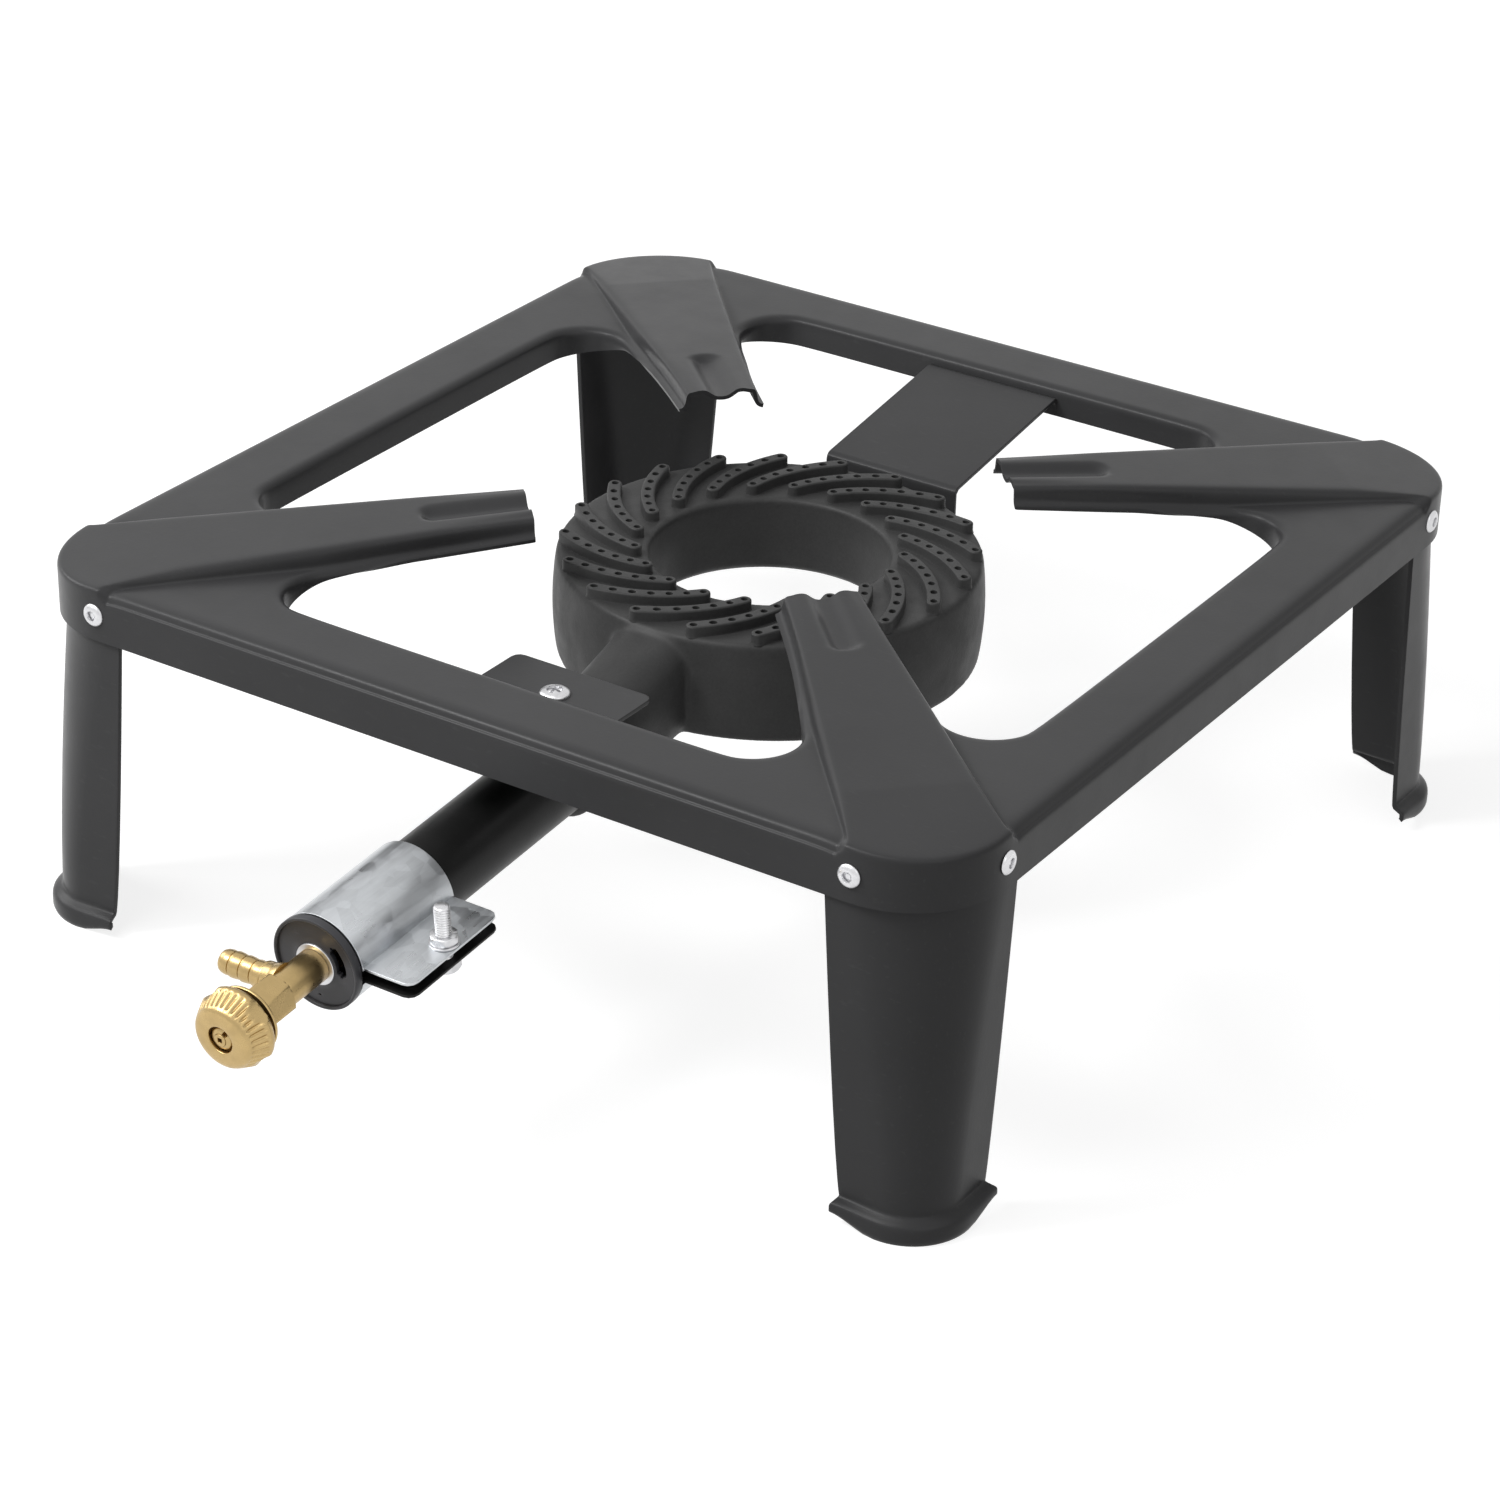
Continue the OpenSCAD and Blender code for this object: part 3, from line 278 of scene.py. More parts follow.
def zincGroup(s):
    tree, given, leave = newGroup("zincCoat", s["inputs"])
    place = given["Place"]
    cells = addNode(tree, "ShaderNodeTexVoronoi", feature="F1")
    feed(tree, given["Spangle Scale"], cells.inputs["Scale"])
    feed(tree, place, cells.inputs["Vector"])
    cellTone = addNode(tree, "ShaderNodeSeparateColor")
    tree.links.new(cells.outputs["Color"], cellTone.inputs[0])
    cell = times(tree, minus(tree, cellTone.outputs[0], 0.5), given["Spangle"])
    rolled = stretched(tree, place, s["streakStretch"], (feedLine["pitch"], 0, 0))
    streaks = noiseNode(tree, rolled, 1, 3)
    smear = noiseNode(tree, stretched(tree, place, s["smearStretch"]), 1, 4, 0.6)
    lines = times(tree, minus(tree, streaks, 0.5), given["Streak"])
    tone = plus(tree, plus(tree, 1, cell), times(tree, lines, s["streakTone"]))
    tone = plus(tree, tone, rampNode(tree, smear, *s["smearTone"]))
    rough = plus(tree, given["Roughness"], plus(tree, cell, lines))
    rough = plus(tree, rough, rampNode(tree, smear, *s["smearRough"]))
    join(tree, leave, Colour=shaded(tree, given["Colour"], tone), Roughness=rough,
         Height=plus(tree, streaks, times(tree, cell, s["cellHigh"])))
    return tree


# Brass: turning marks across the feed line, a little tarnish and the pebbled skin of the forging

brassSet = {
    "inputs": {"Tarnish": 0.3, "Turning": 0.5, "Pebble": 0.5, "Roughness": 0.25},
    "turnStretch": (40, 2600, 40),
    "pebble": (1500, 3, 0.6),
    "pebbleRough": (0.3, 0.7, -0.03, 0.05),
    "stain": (130, 5, 0.65),
    "stainEnds": (0.42, 0.72),
    "stainTone": 0.55,
    "stainRough": 0.35,
}


def brassGroup(s):
    tree, given, leave = newGroup("brassSkin", s["inputs"])
    place = given["Place"]
    marks = noiseNode(tree, stretched(tree, place, s["turnStretch"], (feedLine["pitch"], 0, 0)), 1, 2)
    pebble = noiseNode(tree, place, *s["pebble"])
    stain = noiseNode(tree, place, *s["stain"])
    stainMask = times(tree, rampNode(tree, stain, *s["stainEnds"]), given["Tarnish"])
    dark = shaded(tree, given["Colour"], s["stainTone"])
    rough = plus(tree, given["Roughness"], times(tree, stainMask, s["stainRough"]))
    rough = plus(tree, rough, rampNode(tree, pebble, *s["pebbleRough"]))
    turning = times(tree, marks, given["Turning"])
    pebbled = times(tree, pebble, given["Pebble"])
    join(tree, leave, Colour=mixed(tree, stainMask, given["Colour"], dark), Roughness=rough,
         Height=plus(tree, turning, pebbled))
    return tree


groups = {"paint": paintGroup(paintSet), "cast": castGroup(castSet), "zinc": zincGroup(zincSet),
          "brass": brassGroup(brassSet)}


def newMaterial(name):
    material = bpy.data.materials.new(name)
    material.use_nodes = True
    return material, material.node_tree, material.node_tree.nodes["Principled BSDF"]


def finish(name, group, values, bump, **fixed):
    material, tree, shader = newMaterial(name)
    setInputs(shader, **fixed)
    place = addNode(tree, "ShaderNodeTexCoord").outputs["Object"]
    skin = addNode(tree, "ShaderNodeGroup", node_tree=groups[group])
    setInputs(skin, **values)
    join(tree, skin.inputs, Place=place)
    relief = addNode(tree, "ShaderNodeBump")
    setInputs(relief, Strength=bump[0], Distance=bump[1])
    join(tree, relief.inputs, Height=skin.outputs["Height"])
    join(tree, shader.inputs, Base_Color=skin.outputs["Colour"], Roughness=skin.outputs["Roughness"],
         Normal=relief.outputs["Normal"])
    return material


def grey(value, blue=0):
    return (value, value, value * (1 + blue), 1)


finishes = {
    "frame_enamel": finish("stoveEnamel", "paint",
                           {"Colour": grey(0.046, 0.03), "Roughness": 0.33, "Rub": 0.25},
                           (0.2, 0.0001), Specular_IOR_Level=0.15),
    "burner_iron": finish("castIron", "cast", {"Colour": grey(0.042), "Roughness": 0.5},
                          (0.4, 0.00022), Specular_IOR_Level=0.25),
    "tube_paint": finish("tubeBlack", "paint",
                         {"Colour": grey(0.011), "Roughness": 0.4, "Peel Scale": 1100},
                         (0.25, 0.0001), Specular_IOR_Level=0.2),
    "disc_paint": finish("discGrey", "paint",
                         {"Colour": grey(0.05, 0.1), "Roughness": 0.36, "Peel Scale": 1500},
                         (0.3, 0.0001), Specular_IOR_Level=0.3),
    "zinc_sheet": finish("galvanised", "zinc", {"Colour": (0.6, 0.62, 0.64, 1)},
                         (0.25, 0.0001), Metallic=1),
    "zinc_hardware": finish("zincPlate", "zinc", {"Colour": grey(0.68, 0.02), "Spangle Scale": 900,
                                                  "Spangle": 0.05, "Roughness": 0.27},
                            (0.2, 0.00006), Metallic=1),
    "brass": finish("satinBrass", "brass",
                    {"Colour": (0.5, 0.36, 0.165, 1), "Pebble": 0.25, "Roughness": 0.27},
                    (0.12, 0.00008), Metallic=1),
    "packing": finish("packingRing", "cast", {"Colour": (0.8, 0.79, 0.74, 1), "Roughness": 0.7},
                      (0.2, 0.0001)),
}
print("finishes made")

slotOf = {part["node"]: part["material_slot"] for part in frame["record"]["subparts"]}


def dressCadNodes():
    for name, piece in nodes.items():
        piece.data.materials.clear()
        piece.data.materials.append(finishes[slotOf[name]])


dressCadNodes()

# New pieces are made in millimetres, in the CAD frame, with the square's middle as their y = 0

creaseAngle = radians(38)  # an edge that turns further than this is shaded as a crease


def smooth(mesh):
    mesh.polygons.foreach_set("use_smooth", [True] * len(mesh.polygons))


def newPiece(name, points, faces, body, slot):
    mesh = bpy.data.meshes.new(name)
    places = np.asarray(points, float) * mm + (0, middleY, 0)
    mesh.from_pydata(places.tolist(), [], faces)
    mesh.update()
    piece = newObject(name, mesh)
    smooth(mesh)
    mesh.materials.append(finishes[slot])
    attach(piece, body)
    return piece


def modify(piece, kind, **values):
    modifier = piece.modifiers.new(kind.lower(), kind)
    for key, value in values.items():
        setattr(modifier, key, value)


def bake(piece):
    graph = bpy.context.evaluated_depsgraph_get()
    mesh = bpy.data.meshes.new_from_object(piece.evaluated_get(graph))
    piece.modifiers.clear()
    piece.data = mesh


def bakeShaded(piece):
    bake(piece)
    smooth(piece.data)
    piece.data.set_sharp_from_angle(angle=creaseAngle)


def camelName(node):
    words = node.split("_")
    return words[0] + "".join(word.title() for word in words[1:])


# Pressed frame: the lines of one eighth run from the skirt over the bend to an opening or an arm's tip

frameSet = {
    "corner": 38,
    "rail": 146,
    "tilt": 4.2,
    "railWidth": 31.9,
    "skirt": 20,
    "flange": 12,
    "sheet": 1.5,
    "flangeBend": 3,
    "openingR": 18,
    "openingX": 90.5,
    "tip": 92,
    "crease": 225,
    "plateau": 4,
    "rise": 7.4,
    "tipHalf": 13.8,
    "creaseHalf": 24,
    "tipFootHalf": 16.6,
    "tipWall": 7.4,
    "groove": 3,
    "grooveLength": 42,
    "grooveHalf": 6.8,
    "crown": 0.7,
    "edge": 2.2,
    "ramp": 4.6,
    "notch": 0.8,
    "footLine": 8,
    "midLine": 18,
    # rows from the skirt's foot: the bend's last, the crease, the foot of the wall and a lip's edge
    "rimRow": 4,
    "creaseRow": 5,
    "wallRow": 8,
    "lipRow": 11,
    # inward and down from the level above, from the skirt to the top: a bend that stands on a small shoulder
    "railEdge": ((0, 6.4), (0, 4.2), (0.5, 3.5), (1.15, 3.3), (1.5, 2.5), (2.2, 1.15), (3.6, 0.3), (6.2, 0)),
    "plateauEdge": ((0, 9), (0, 3.2), (0, 2.2), (0.05, 1.6), (0.2, 1), (0.6, 0.5), (1.3, 0.15), (2.8, 0)),
    "filletShares": (0, 0.1, 0.23, 0.37, 0.54, 0.74, 0.955, 1),
    "rampShares": (0.2, 0.5, 0.8, 1),
    "liftShares": (0.12, 0.5, 0.9, 1),
    "cornerShares": (0.9, 0.74, 0.56, 0.38, 0.19, 0),
    "topShares": (0.8, 0.64, 0.5, 0.36, 0.18, 0),
    "rimRows": (0, 0.05, 0.5),
    "rows": (4.35, 4.88, 5, 5.06, 6, 7, 7.6, 8),
    "armShares": (0.25, 0.5, 0.8, 0.95),
    "grooveSteps": (0, 1.3, 2.8, 4.6, 7, 20, 40.8, 42),
    "grooveFloor": 0.3,  # share of the groove's half width that is flat
    "fan": 135,  # degrees of an opening's corner in one eighth
    "wallFoot": 0.25,
    "wallCurve": 1.85,  # how the foot of an arm's wall runs in from the opening's corner
    "flareStart": 2.5,
    # offsets from the wall's end, out and up: the lip of an opening becomes the flared edge of an arm
    "lipOffsets": ((-3, 0), (-0.88, -0.88), (0, -2.6), (0, -3.4)),
    "flareOffsets": ((-1.9, 2), (-1.4, 0.8), (-0.5, 0.15), (0.7, -0.1)),
}


def mix(a, b, share):
    return a + (b - a) * share


def eased(x):
    x = min(max(x, 0), 1)
    return x * x * (3 - 2 * x)


def frameSkin(s):
    root2 = sqrt(2)
    foot, rimRow, creaseRow, wallRow = (s[k] for k in ("footLine", "rimRow", "creaseRow", "wallRow"))
    openingY = halfWide - s["railWidth"] - s["openingR"]
    cornerC = halfWide - s["corner"]
    arcEnd = ((s["openingX"] + openingY) / root2, (openingY - s["openingX"]) / root2 - s["openingR"])
    plateauZ = s["rail"] + s["plateau"]
    panZ = plateauZ + s["rise"]
    footX = cornerC - s["ramp"] - s["sheet"]
    grooveEnd = s["tip"] + s["grooveLength"]
    stations = [mix(arcEnd[0], grooveEnd, t) for t in s["armShares"]]
    stations += [grooveEnd - d for d in s["grooveSteps"]]

    def rimStart(j):
        if j == 0:
            return 0, halfWide, 90, 0
        if j <= foot:
            return mix(s["openingX"], footX, s["filletShares"][j - 1]), halfWide, 90, 0
        ramps = len(s["rampShares"])
        if j <= foot + ramps:
            k = j - foot - 1
            return footX + s["ramp"] * s["rampShares"][k], halfWide, 90, s["liftShares"][k]
        a = 45 + 45 * s["cornerShares"][j - foot - ramps - 1]
        t = radians(a)
        return cornerC + s["corner"] * cos(t), cornerC + s["corner"] * sin(t), a, 1

    def rimPoint(j, i):
        x, y, turn, lift = rimStart(j)
        top = s["rail"] + s["plateau"] * lift - (s["notch"] if j == foot else 0)
        edge = mix(np.array(s["railEdge"]), np.array(s["plateauEdge"]), lift)
        if i < 1:
            return x, y, mix(s["rail"] - s["skirt"], top - edge[0][1], i)
        inward, drop = edge[round((i - 1) * (len(edge) - 1) / (rimRow - 1))]
        t = radians(turn)
        x, y = x - inward * cos(t), y - inward * sin(t)
        past = max((x + y) / root2 - s["crease"], 0)
        past /= root2 * cornerC + s["corner"] - s["crease"]
        return x, y, top - drop - s["tilt"] * past * lift

    def lipPoint(j, i):
        turn = 0 if j == 0 else (j - 1) / (foot - 1)
        a, b = radians(90 - s["fan"] * turn), radians(45 * min(i - wallRow, 2))
        r = s["openingR"] + s["flangeBend"] * (1 - sin(b))
        z = s["rail"] - s["flangeBend"] * (1 - cos(b))
        if i == s["lipRow"]:
            z = mix(s["rail"] - s["flange"], s["rail"] - s["flangeBend"], turn * turn)
        return (0 if j == 0 else s["openingX"]) + r * cos(a), openingY + r * sin(a), z

    def station(i):
        if i > wallRow:
            return stations[i - wallRow - 1]
        return mix(s["crease"], arcEnd[0], (i - creaseRow) / (wallRow - creaseRow))

    def flared(k, i):
        t = (station(i) - s["tip"]) / (arcEnd[0] - s["tip"])
        wallV = mix(s["tipFootHalf"], arcEnd[1], t ** s["wallCurve"])
        end = np.array((wallV, mix(s["rail"], panZ - s["tipWall"], (1 - t) ** 2)))
        share = eased(s["flareStart"] * (1 - t))
        return end + mix(np.array(s["lipOffsets"][k]), np.array(s["flareOffsets"][k]), share)

    def placed(i, across):
        r = station(i)
        return (r - across[0]) / root2, (r + across[0]) / root2, across[1]

    def armPoint(j, i):
        r = station(i)
        share = (r - s["tip"]) / (s["crease"] - s["tip"])
        c = np.array((mix(s["tipHalf"], s["creaseHalf"], share), mix(panZ, plateauZ, share)))
        if i >= wallRow:
            f = flared(0, i)
        else:
            x, y, z = rimPoint(foot, rimRow)
            rimR, rimV = (x + y) / root2, (y - x) / root2
            footV = mix(rimV, arcEnd[1] + s["lipOffsets"][0][0], (rimR - r) / (rimR - arcEnd[0]))
            f = np.array((footV, s["rail"]))
        deep = max(grooveEnd - r, 0)
        top = c - (s["edge"], s["crown"] * eased(deep / s["grooveLength"]))
        side = c + (f - c) / np.linalg.norm(f - c) * s["edge"]
        wall = (f, mix(f, c, s["wallFoot"]), side, (side + 2 * c + top) / 4, top)
        k = j - foot
        if k < len(wall):
            return placed(i, wall[k])
        v = top[0] * s["topShares"][k - len(wall)]
        far = hypot(v, max(s["grooveHalf"] - deep, 0)) / s["grooveHalf"]
        sunk = s["groove"] * (1 - eased((far - s["grooveFloor"]) / (1 - s["grooveFloor"]))) if deep else 0
        return placed(i, (v, c[1] - sunk))

    def eighthPoint(j, i):
        if i <= rimRow:
            return rimPoint(j, i)
        if j >= foot:
            if i >= creaseRow:
                return armPoint(j, i)
            return tuple(mix(a, b, i - rimRow) for a, b in zip(rimPoint(j, rimRow), armPoint(j, creaseRow)))
        if i >= wallRow:
            return lipPoint(j, i)
        share = (i - rimRow) / (wallRow - rimRow)
        return tuple(mix(a, b, share) for a, b in zip(rimPoint(j, rimRow), lipPoint(j, wallRow)))

    return eighthPoint, lambda k, i: placed(i, flared(k, i))


def makeTopFrame(s):
    eighth, flare = frameSkin(s)
    foot, mid, wallRow = s["footLine"], s["midLine"], s["wallRow"]
    quarter = 2 * mid
    count = 4 * quarter
    bends = len(s["railEdge"])
    rows = s["rimRows"] + tuple(1 + (s["rimRow"] - 1) * k / (bends - 1) for k in range(bends)) + s["rows"]
    seam = len(rows) - 1
    railRows = rows + tuple(range(wallRow + 1, s["lipRow"] + 1))
    armRows = rows + tuple(range(wallRow + 1, wallRow + 1 + len(s["armShares"]) + len(s["grooveSteps"])))
    points, faces = [], []

    def added(point, n):
        x, y, z = point
        if n % quarter >= mid:
            x, y = y, x
        for k in range(n // quarter):
            x, y = y, -x
        points.append((x, y, z))
        return len(points) - 1

    def strip(a, b):
        faces.extend((a[i], b[i], b[i + 1], a[i + 1]) for i in range(min(len(a), len(b)) - 1))

    lines = []
    for n in range(count):
        q = n % quarter
        j = q if q <= mid else quarter - q
        lines.append([added(eighth(j, i), n) for i in (armRows if j >= foot else railRows)])
    for n in range(count):
        a, b = lines[n], lines[(n + 1) % count]
        if len(a) == len(b):
            strip(a, b)
            continue
        strip(a[:seam + 1], b[:seam + 1])
        opens = len(a) > len(b)  # an arm's last line, so that the rail comes after it
        rail, arm = (b, a) if opens else (a, b)
        edges = [arm[seam:]]
        for k in range(1, len(s["flareOffsets"])):
            edges.append([added(flare(k, i), n if opens else n + 1) for i in armRows[seam:]])
        for k, (near, far) in enumerate(zip(edges, edges[1:])):
            joint = (near[0], rail[seam + k], rail[seam + k + 1], far[0])
            faces.append(joint if opens else (joint[1], joint[0], joint[3], joint[2]))
            strip(*((near, far) if opens else (far, near)))
    faces = [tuple(reversed(f)) for f in faces]
    piece = newPiece("pressedFrame", points, faces, "stove", "frame_enamel")
    modify(piece, "SUBSURF", levels=2, render_levels=2)
    modify(piece, "SOLIDIFY", thickness=s["sheet"] * mm, offset=-1, use_even_offset=True)
    bakeShaded(piece)
    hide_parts("top_frame")


makeTopFrame(frameSet)
print("pressed frame made")

# Makers of turned, folded and softened pieces

coarse, even, fine = 48, 64, 96  # sides of a turned piece


def feedPlace(x, up, s):
    c, d = cos(feedLine["pitch"]), sin(feedLine["pitch"])
    return x, feedLine["y"] - s * c - up * d, feedLine["z"] - s * d + up * c


def polar(r, a):
    return r * cos(a), r * sin(a)


def gridFaces(rows, count, steps):
    faces = []
    for i in range(rows - 1):
        for n in range(steps):
            m = (n + 1) % count
            faces.append((i * count + n, i * count + m, (i + 1) * count + m, (i + 1) * count + n))
    return faces


def turned(profile, count, place, shaped=None):
    points = []
    for r, h in profile:
        for n in range(count):
            a = 2 * pi * n / count
            points.append(place(*polar(shaped(r, h, a) if shaped else r, a), h))
    return points, gridFaces(len(profile), count, count)


def together(parts):
    points, faces = [], []
    for p, f in parts:
        base = len(points)
        points.extend(p)
        faces.extend(tuple(v + base for v in face) for face in f)
    return points, faces


def weld(piece, reach=0.01, flat=0):
    mesh = bmesh.new()
    mesh.from_mesh(piece.data)
    bmesh.ops.remove_doubles(mesh, verts=mesh.verts, dist=reach * mm)
    if flat:
        bmesh.ops.dissolve_limit(mesh, angle_limit=radians(flat), verts=mesh.verts, edges=mesh.edges)
    bmesh.ops.recalc_face_normals(mesh, faces=mesh.faces)
    mesh.to_mesh(piece.data)
    mesh.free()


def bevel(piece, width, segments, degrees):
    modify(piece, "BEVEL", width=width * mm, segments=segments, limit_method="ANGLE",
           angle_limit=radians(degrees))


def turnedPiece(name, parts, body, slot, *replaced):
    piece = newPiece(name, *together(parts), body, slot)
    weld(piece)
    bakeShaded(piece)
    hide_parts(*replaced)


# A hexagon bar with chamfered corners, as nuts and spanner flats have

hexSet = {"face": 0.97, "bend": (1.02, 0.15), "slope": (0.35, 0.45), "edge": 0.9}


def hexBar(flats, low, high, place, bore=0, turn=0):
    half, sixth = flats / 2, pi / 6
    tip = half / cos(sixth)

    def shaped(r, h, a):
        if r < half:
            return r
        return min(r, half / cos((a - turn + sixth) % (2 * sixth) - sixth))

    chamfer = [(half * hexSet["face"], 0), (half * hexSet["bend"][0], hexSet["bend"][1]),
               (tip - hexSet["slope"][0], hexSet["slope"][1]), (tip, hexSet["edge"])]
    rows = [(bore, low)] + [(r, low + d) for r, d in chamfer] + [(r, high - d) for r, d in reversed(chamfer)]
    rows.append((bore, high))
    if bore:
        rows.append((bore, low))
    return turned(rows, fine, place, shaped)


# Some CAD pieces only get rounded edges

softSet = {"weld": 0.002, "flat": 1, "segments": 3, "angle": 30}


def softened(node, body, width):
    source = nodes[node]
    piece = newObject(camelName(node), source.data.copy())
    piece.matrix_world = source.matrix_world.copy()
    weld(piece, softSet["weld"], softSet["flat"])
    bevel(piece, width, softSet["segments"], softSet["angle"])
    modify(piece, "WEIGHTED_NORMAL", keep_sharp=True)
    smooth(piece.data)
    bake(piece)
    piece.data.materials.clear()
    piece.data.materials.append(finishes[slotOf[node]])
    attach(piece, body)
    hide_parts(node)


# Legs: an L-section that narrows to the foot, where its lower edge is folded outward

legSet = {
    "face": 198.4,
    "topR": 39.5,
    "footR": 20,
    "topWide": 46.5,
    "footWide": 36.4,
    "taper": (10, 126),
    "curves": (1.4, 0.8),  # how radius and width grow from the foot
    "sheet": 1.8,
    "lipTop": 9.8,
    # how far out, and over what height below the lip's top; the creep also grows from the sole
    "fold": (3, 3),
    "creep": (1.2, 5, 1.5, 3.5),
    "endFlare": (1.4, 4),
    "soleRise": (4.2, 17),
    "edge": (0.4, 3, 60),  # width, segments and the angle that is bevelled
    "heights": (0.03, 0.25, 0.8, 1.8, 3, 4.4, 5.8, 6.7, 7.4, 8.1, 8.8, 9.4, 9.9, 10.6, 12, 16, 28, 45, 65,
                88, 110, 126, 141.4),
    "flankShares": (0, 0.06, 0.15, 0.3, 0.5, 0.75),
    "arcStep": 6,
    "places": ("rear_right", "rear_left", "front_left", "front_right"),
}


def makeLeg(s, k):
    points = []
    low, high = s["taper"]
    creep, creepRise, soleGap, soleRun = s["creep"]
    for z in s["heights"]:
        share = min(max((z - low) / (high - low), 0), 1)
        below = s["lipTop"] - z
        out = s["fold"][0] * eased(below / s["fold"][1])
        out += creep * eased(below / creepRise) * eased((z + soleGap) / soleRun)
        r = mix(s["footR"], s["topR"], share ** s["curves"][0]) + out
        c = s["face"] + out - r
        wide = mix(s["footWide"], s["topWide"], share ** s["curves"][1])
        end = s["face"] - wide - s["endFlare"][0] * eased(below / s["endFlare"][1])
        flank = [(s["face"] + out, mix(end, c, t)) for t in s["flankShares"]]
        turns = [radians(a) for a in range(0, 91, s["arcStep"])]
        arc = [(c + r * cos(a), c + r * sin(a)) for a in turns]
        for x, y in flank + arc + [(y, x) for x, y in reversed(flank)]:
            inner = 1 - eased((min(x, y) - end) / s["soleRise"][1])
            lift = s["soleRise"][0] * inner * max(1 - z / s["lipTop"], 0)
            for n in range(k):
                x, y = -y, x
            points.append((x, y, z + lift))
    count = len(points) // len(s["heights"])
    faces = gridFaces(len(s["heights"]), count, count - 1)
    place = s["places"][k]
    piece = newPiece(camelName("leg_" + place), points, faces, "stove", "frame_enamel")
    modify(piece, "SOLIDIFY", thickness=s["sheet"] * mm, offset=-1, use_even_offset=True)
    bevel(piece, *s["edge"])
    bakeShaded(piece)
    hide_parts("leg_" + place)


for quarterTurn in range(4):
    makeLeg(legSet, quarterTurn)

# Blind rivets: a domed head with the end of its pin, and the formed bulb inside

rivetSet = {
    "across": 38,
    "height": 136.2,
    "sides": 36,
    "profile": ((0, 0.62), (0.9, 0.62), (1.02, 0.5), (1.06, 0.02), (1.62, 0.02), (1.72, 0.9), (1.9, 1.42),
                (2.15, 1.56), (2.9, 1.42), (3.6, 1.1), (4.1, 0.7), (4.38, 0.35), (4.42, 0.08), (4.36, 0),
                (2.4, 0), (2.4, -3.4), (3.2, -4), (3.36, -5), (2.9, -6), (1.6, -6.5), (0, -6.5)),
}


def makeRivets(s):
    parts = []
    along = halfWide - s["across"]
    for k in range(4):
        for across in (True, False):
            def place(x, y, h, k=k, across=across):
                p = (along + x, halfWide + h) if across else (halfWide + h, along + x)
                for n in range(k):
                    p = -p[1], p[0]
                return p[0], p[1], s["height"] + y
            parts.append(turned(s["profile"], s["sides"], place))
    turnedPiece("blindRivets", parts, "stove", "zinc_hardware", "leg_rivets")


makeRivets(rivetSet)
print("legs and rivets made")

# Burner: one casting of ring, neck, socket and bosses, blended like a sand mould leaves it

burnerSet = {
    "ringY": 1.5,
    "sides": 180,
    "hole": 46,
    "deckR": 81.5,
    "deckZ": 130,
    "lowZ": 90,
    "under": 9,
    "edge": 1.2,
    "lowEdge": 3.7,
    "bulge": 1.4,
    "bulgeShares": (0, 0.15, 0.35, 0.5, 0.65, 0.85, 1),
    "neckY": -66,
    "neckHalf": 16.6,
    "neckEdge": 10,
    "neckSides": 24,
    "neckHeights": (99, 121.2),
    "mouth": (-78, -76.5),
    "mouthR": 19,
    # radius, start, end and rounded edge
    "socket": (18.2, -81, -60, 1.4),
    "boss": (8, 90, 125.9, 0.6),
    "rear": (12, 78, 88.7, 0.8),
    "bossY": -136,
    "rearZ": 112,
    "voxel": 1.1,
    "smoothing": 7,
}


def stub(size, place):
    r, low, high, edge = size
    rows = [(0, low), (r - edge, low), (r, low + edge), (r, high - edge), (r - edge, high), (0, high)]
    return turned(rows, coarse, place)


def neckHull(s):
    mesh = bmesh.new()
    edge = s["neckEdge"]
    for x in (-1, 1):
        for z in s["neckHeights"]:
            for n in range(s["neckSides"]):
                a = radians(360 * n / s["neckSides"])
                across = x * (s["neckHalf"] - edge) + edge * cos(a)
                mesh.verts.new((across, s["neckY"], z + edge * sin(a)))
    for n in range(coarse):
        a = radians(360 * n / coarse)
        for along in s["mouth"]:
            mesh.verts.new(feedPlace(*polar(s["mouthR"], a), along))
    hull = bmesh.ops.convex_hull(mesh, input=mesh.verts)
    inner = {v for v in hull["geom_interior"] if isinstance(v, bmesh.types.BMVert)}
    bmesh.ops.delete(mesh, geom=list(inner), context="VERTS")
    mesh.verts.index_update()
    points = [tuple(v.co) for v in mesh.verts]
    faces = [tuple(v.index for v in f.verts) for f in mesh.faces]
    mesh.free()
    return points, faces


def makeBurnerBody(s):
    hole, wide, low, high, edge = s["hole"], s["deckR"], s["lowZ"], s["deckZ"], s["edge"]
    under = low + s["under"]
    ring = [(hole, under + 2 * edge), (hole + 2 * edge, under)]
    ring += [(wide - s["lowEdge"], low), (wide - edge, low)]
    for t in s["bulgeShares"]:
        ring.append((wide + s["bulge"] * (1 - (2 * t - 1) ** 2), mix(low + edge, high - edge, t)))
    ring += [(wide - edge, high), (hole + edge, high), (hole, high - edge), ring[0]]
    parts = [turned(ring, s["sides"], lambda x, y, h: (x, y + s["ringY"], h)), neckHull(s)]
    parts.append(stub(s["socket"], feedPlace))
    parts.append(stub(s["boss"], lambda x, y, h: (x, y + s["bossY"], h)))
    parts.append(stub(s["rear"], lambda x, y, h: (x, h, y + s["rearZ"])))
    piece = newPiece("burnerBody", *together(parts), "stove", "burner_iron")
    weld(piece)
    modify(piece, "REMESH", mode="VOXEL", voxel_size=s["voxel"] * mm)
    modify(piece, "SMOOTH", factor=0.5, iterations=s["smoothing"])
    bakeShaded(piece)
    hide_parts("burner_casting")


makeBurnerBody(burnerSet)

# Ribs: each one a row of cells, one round each gas hole

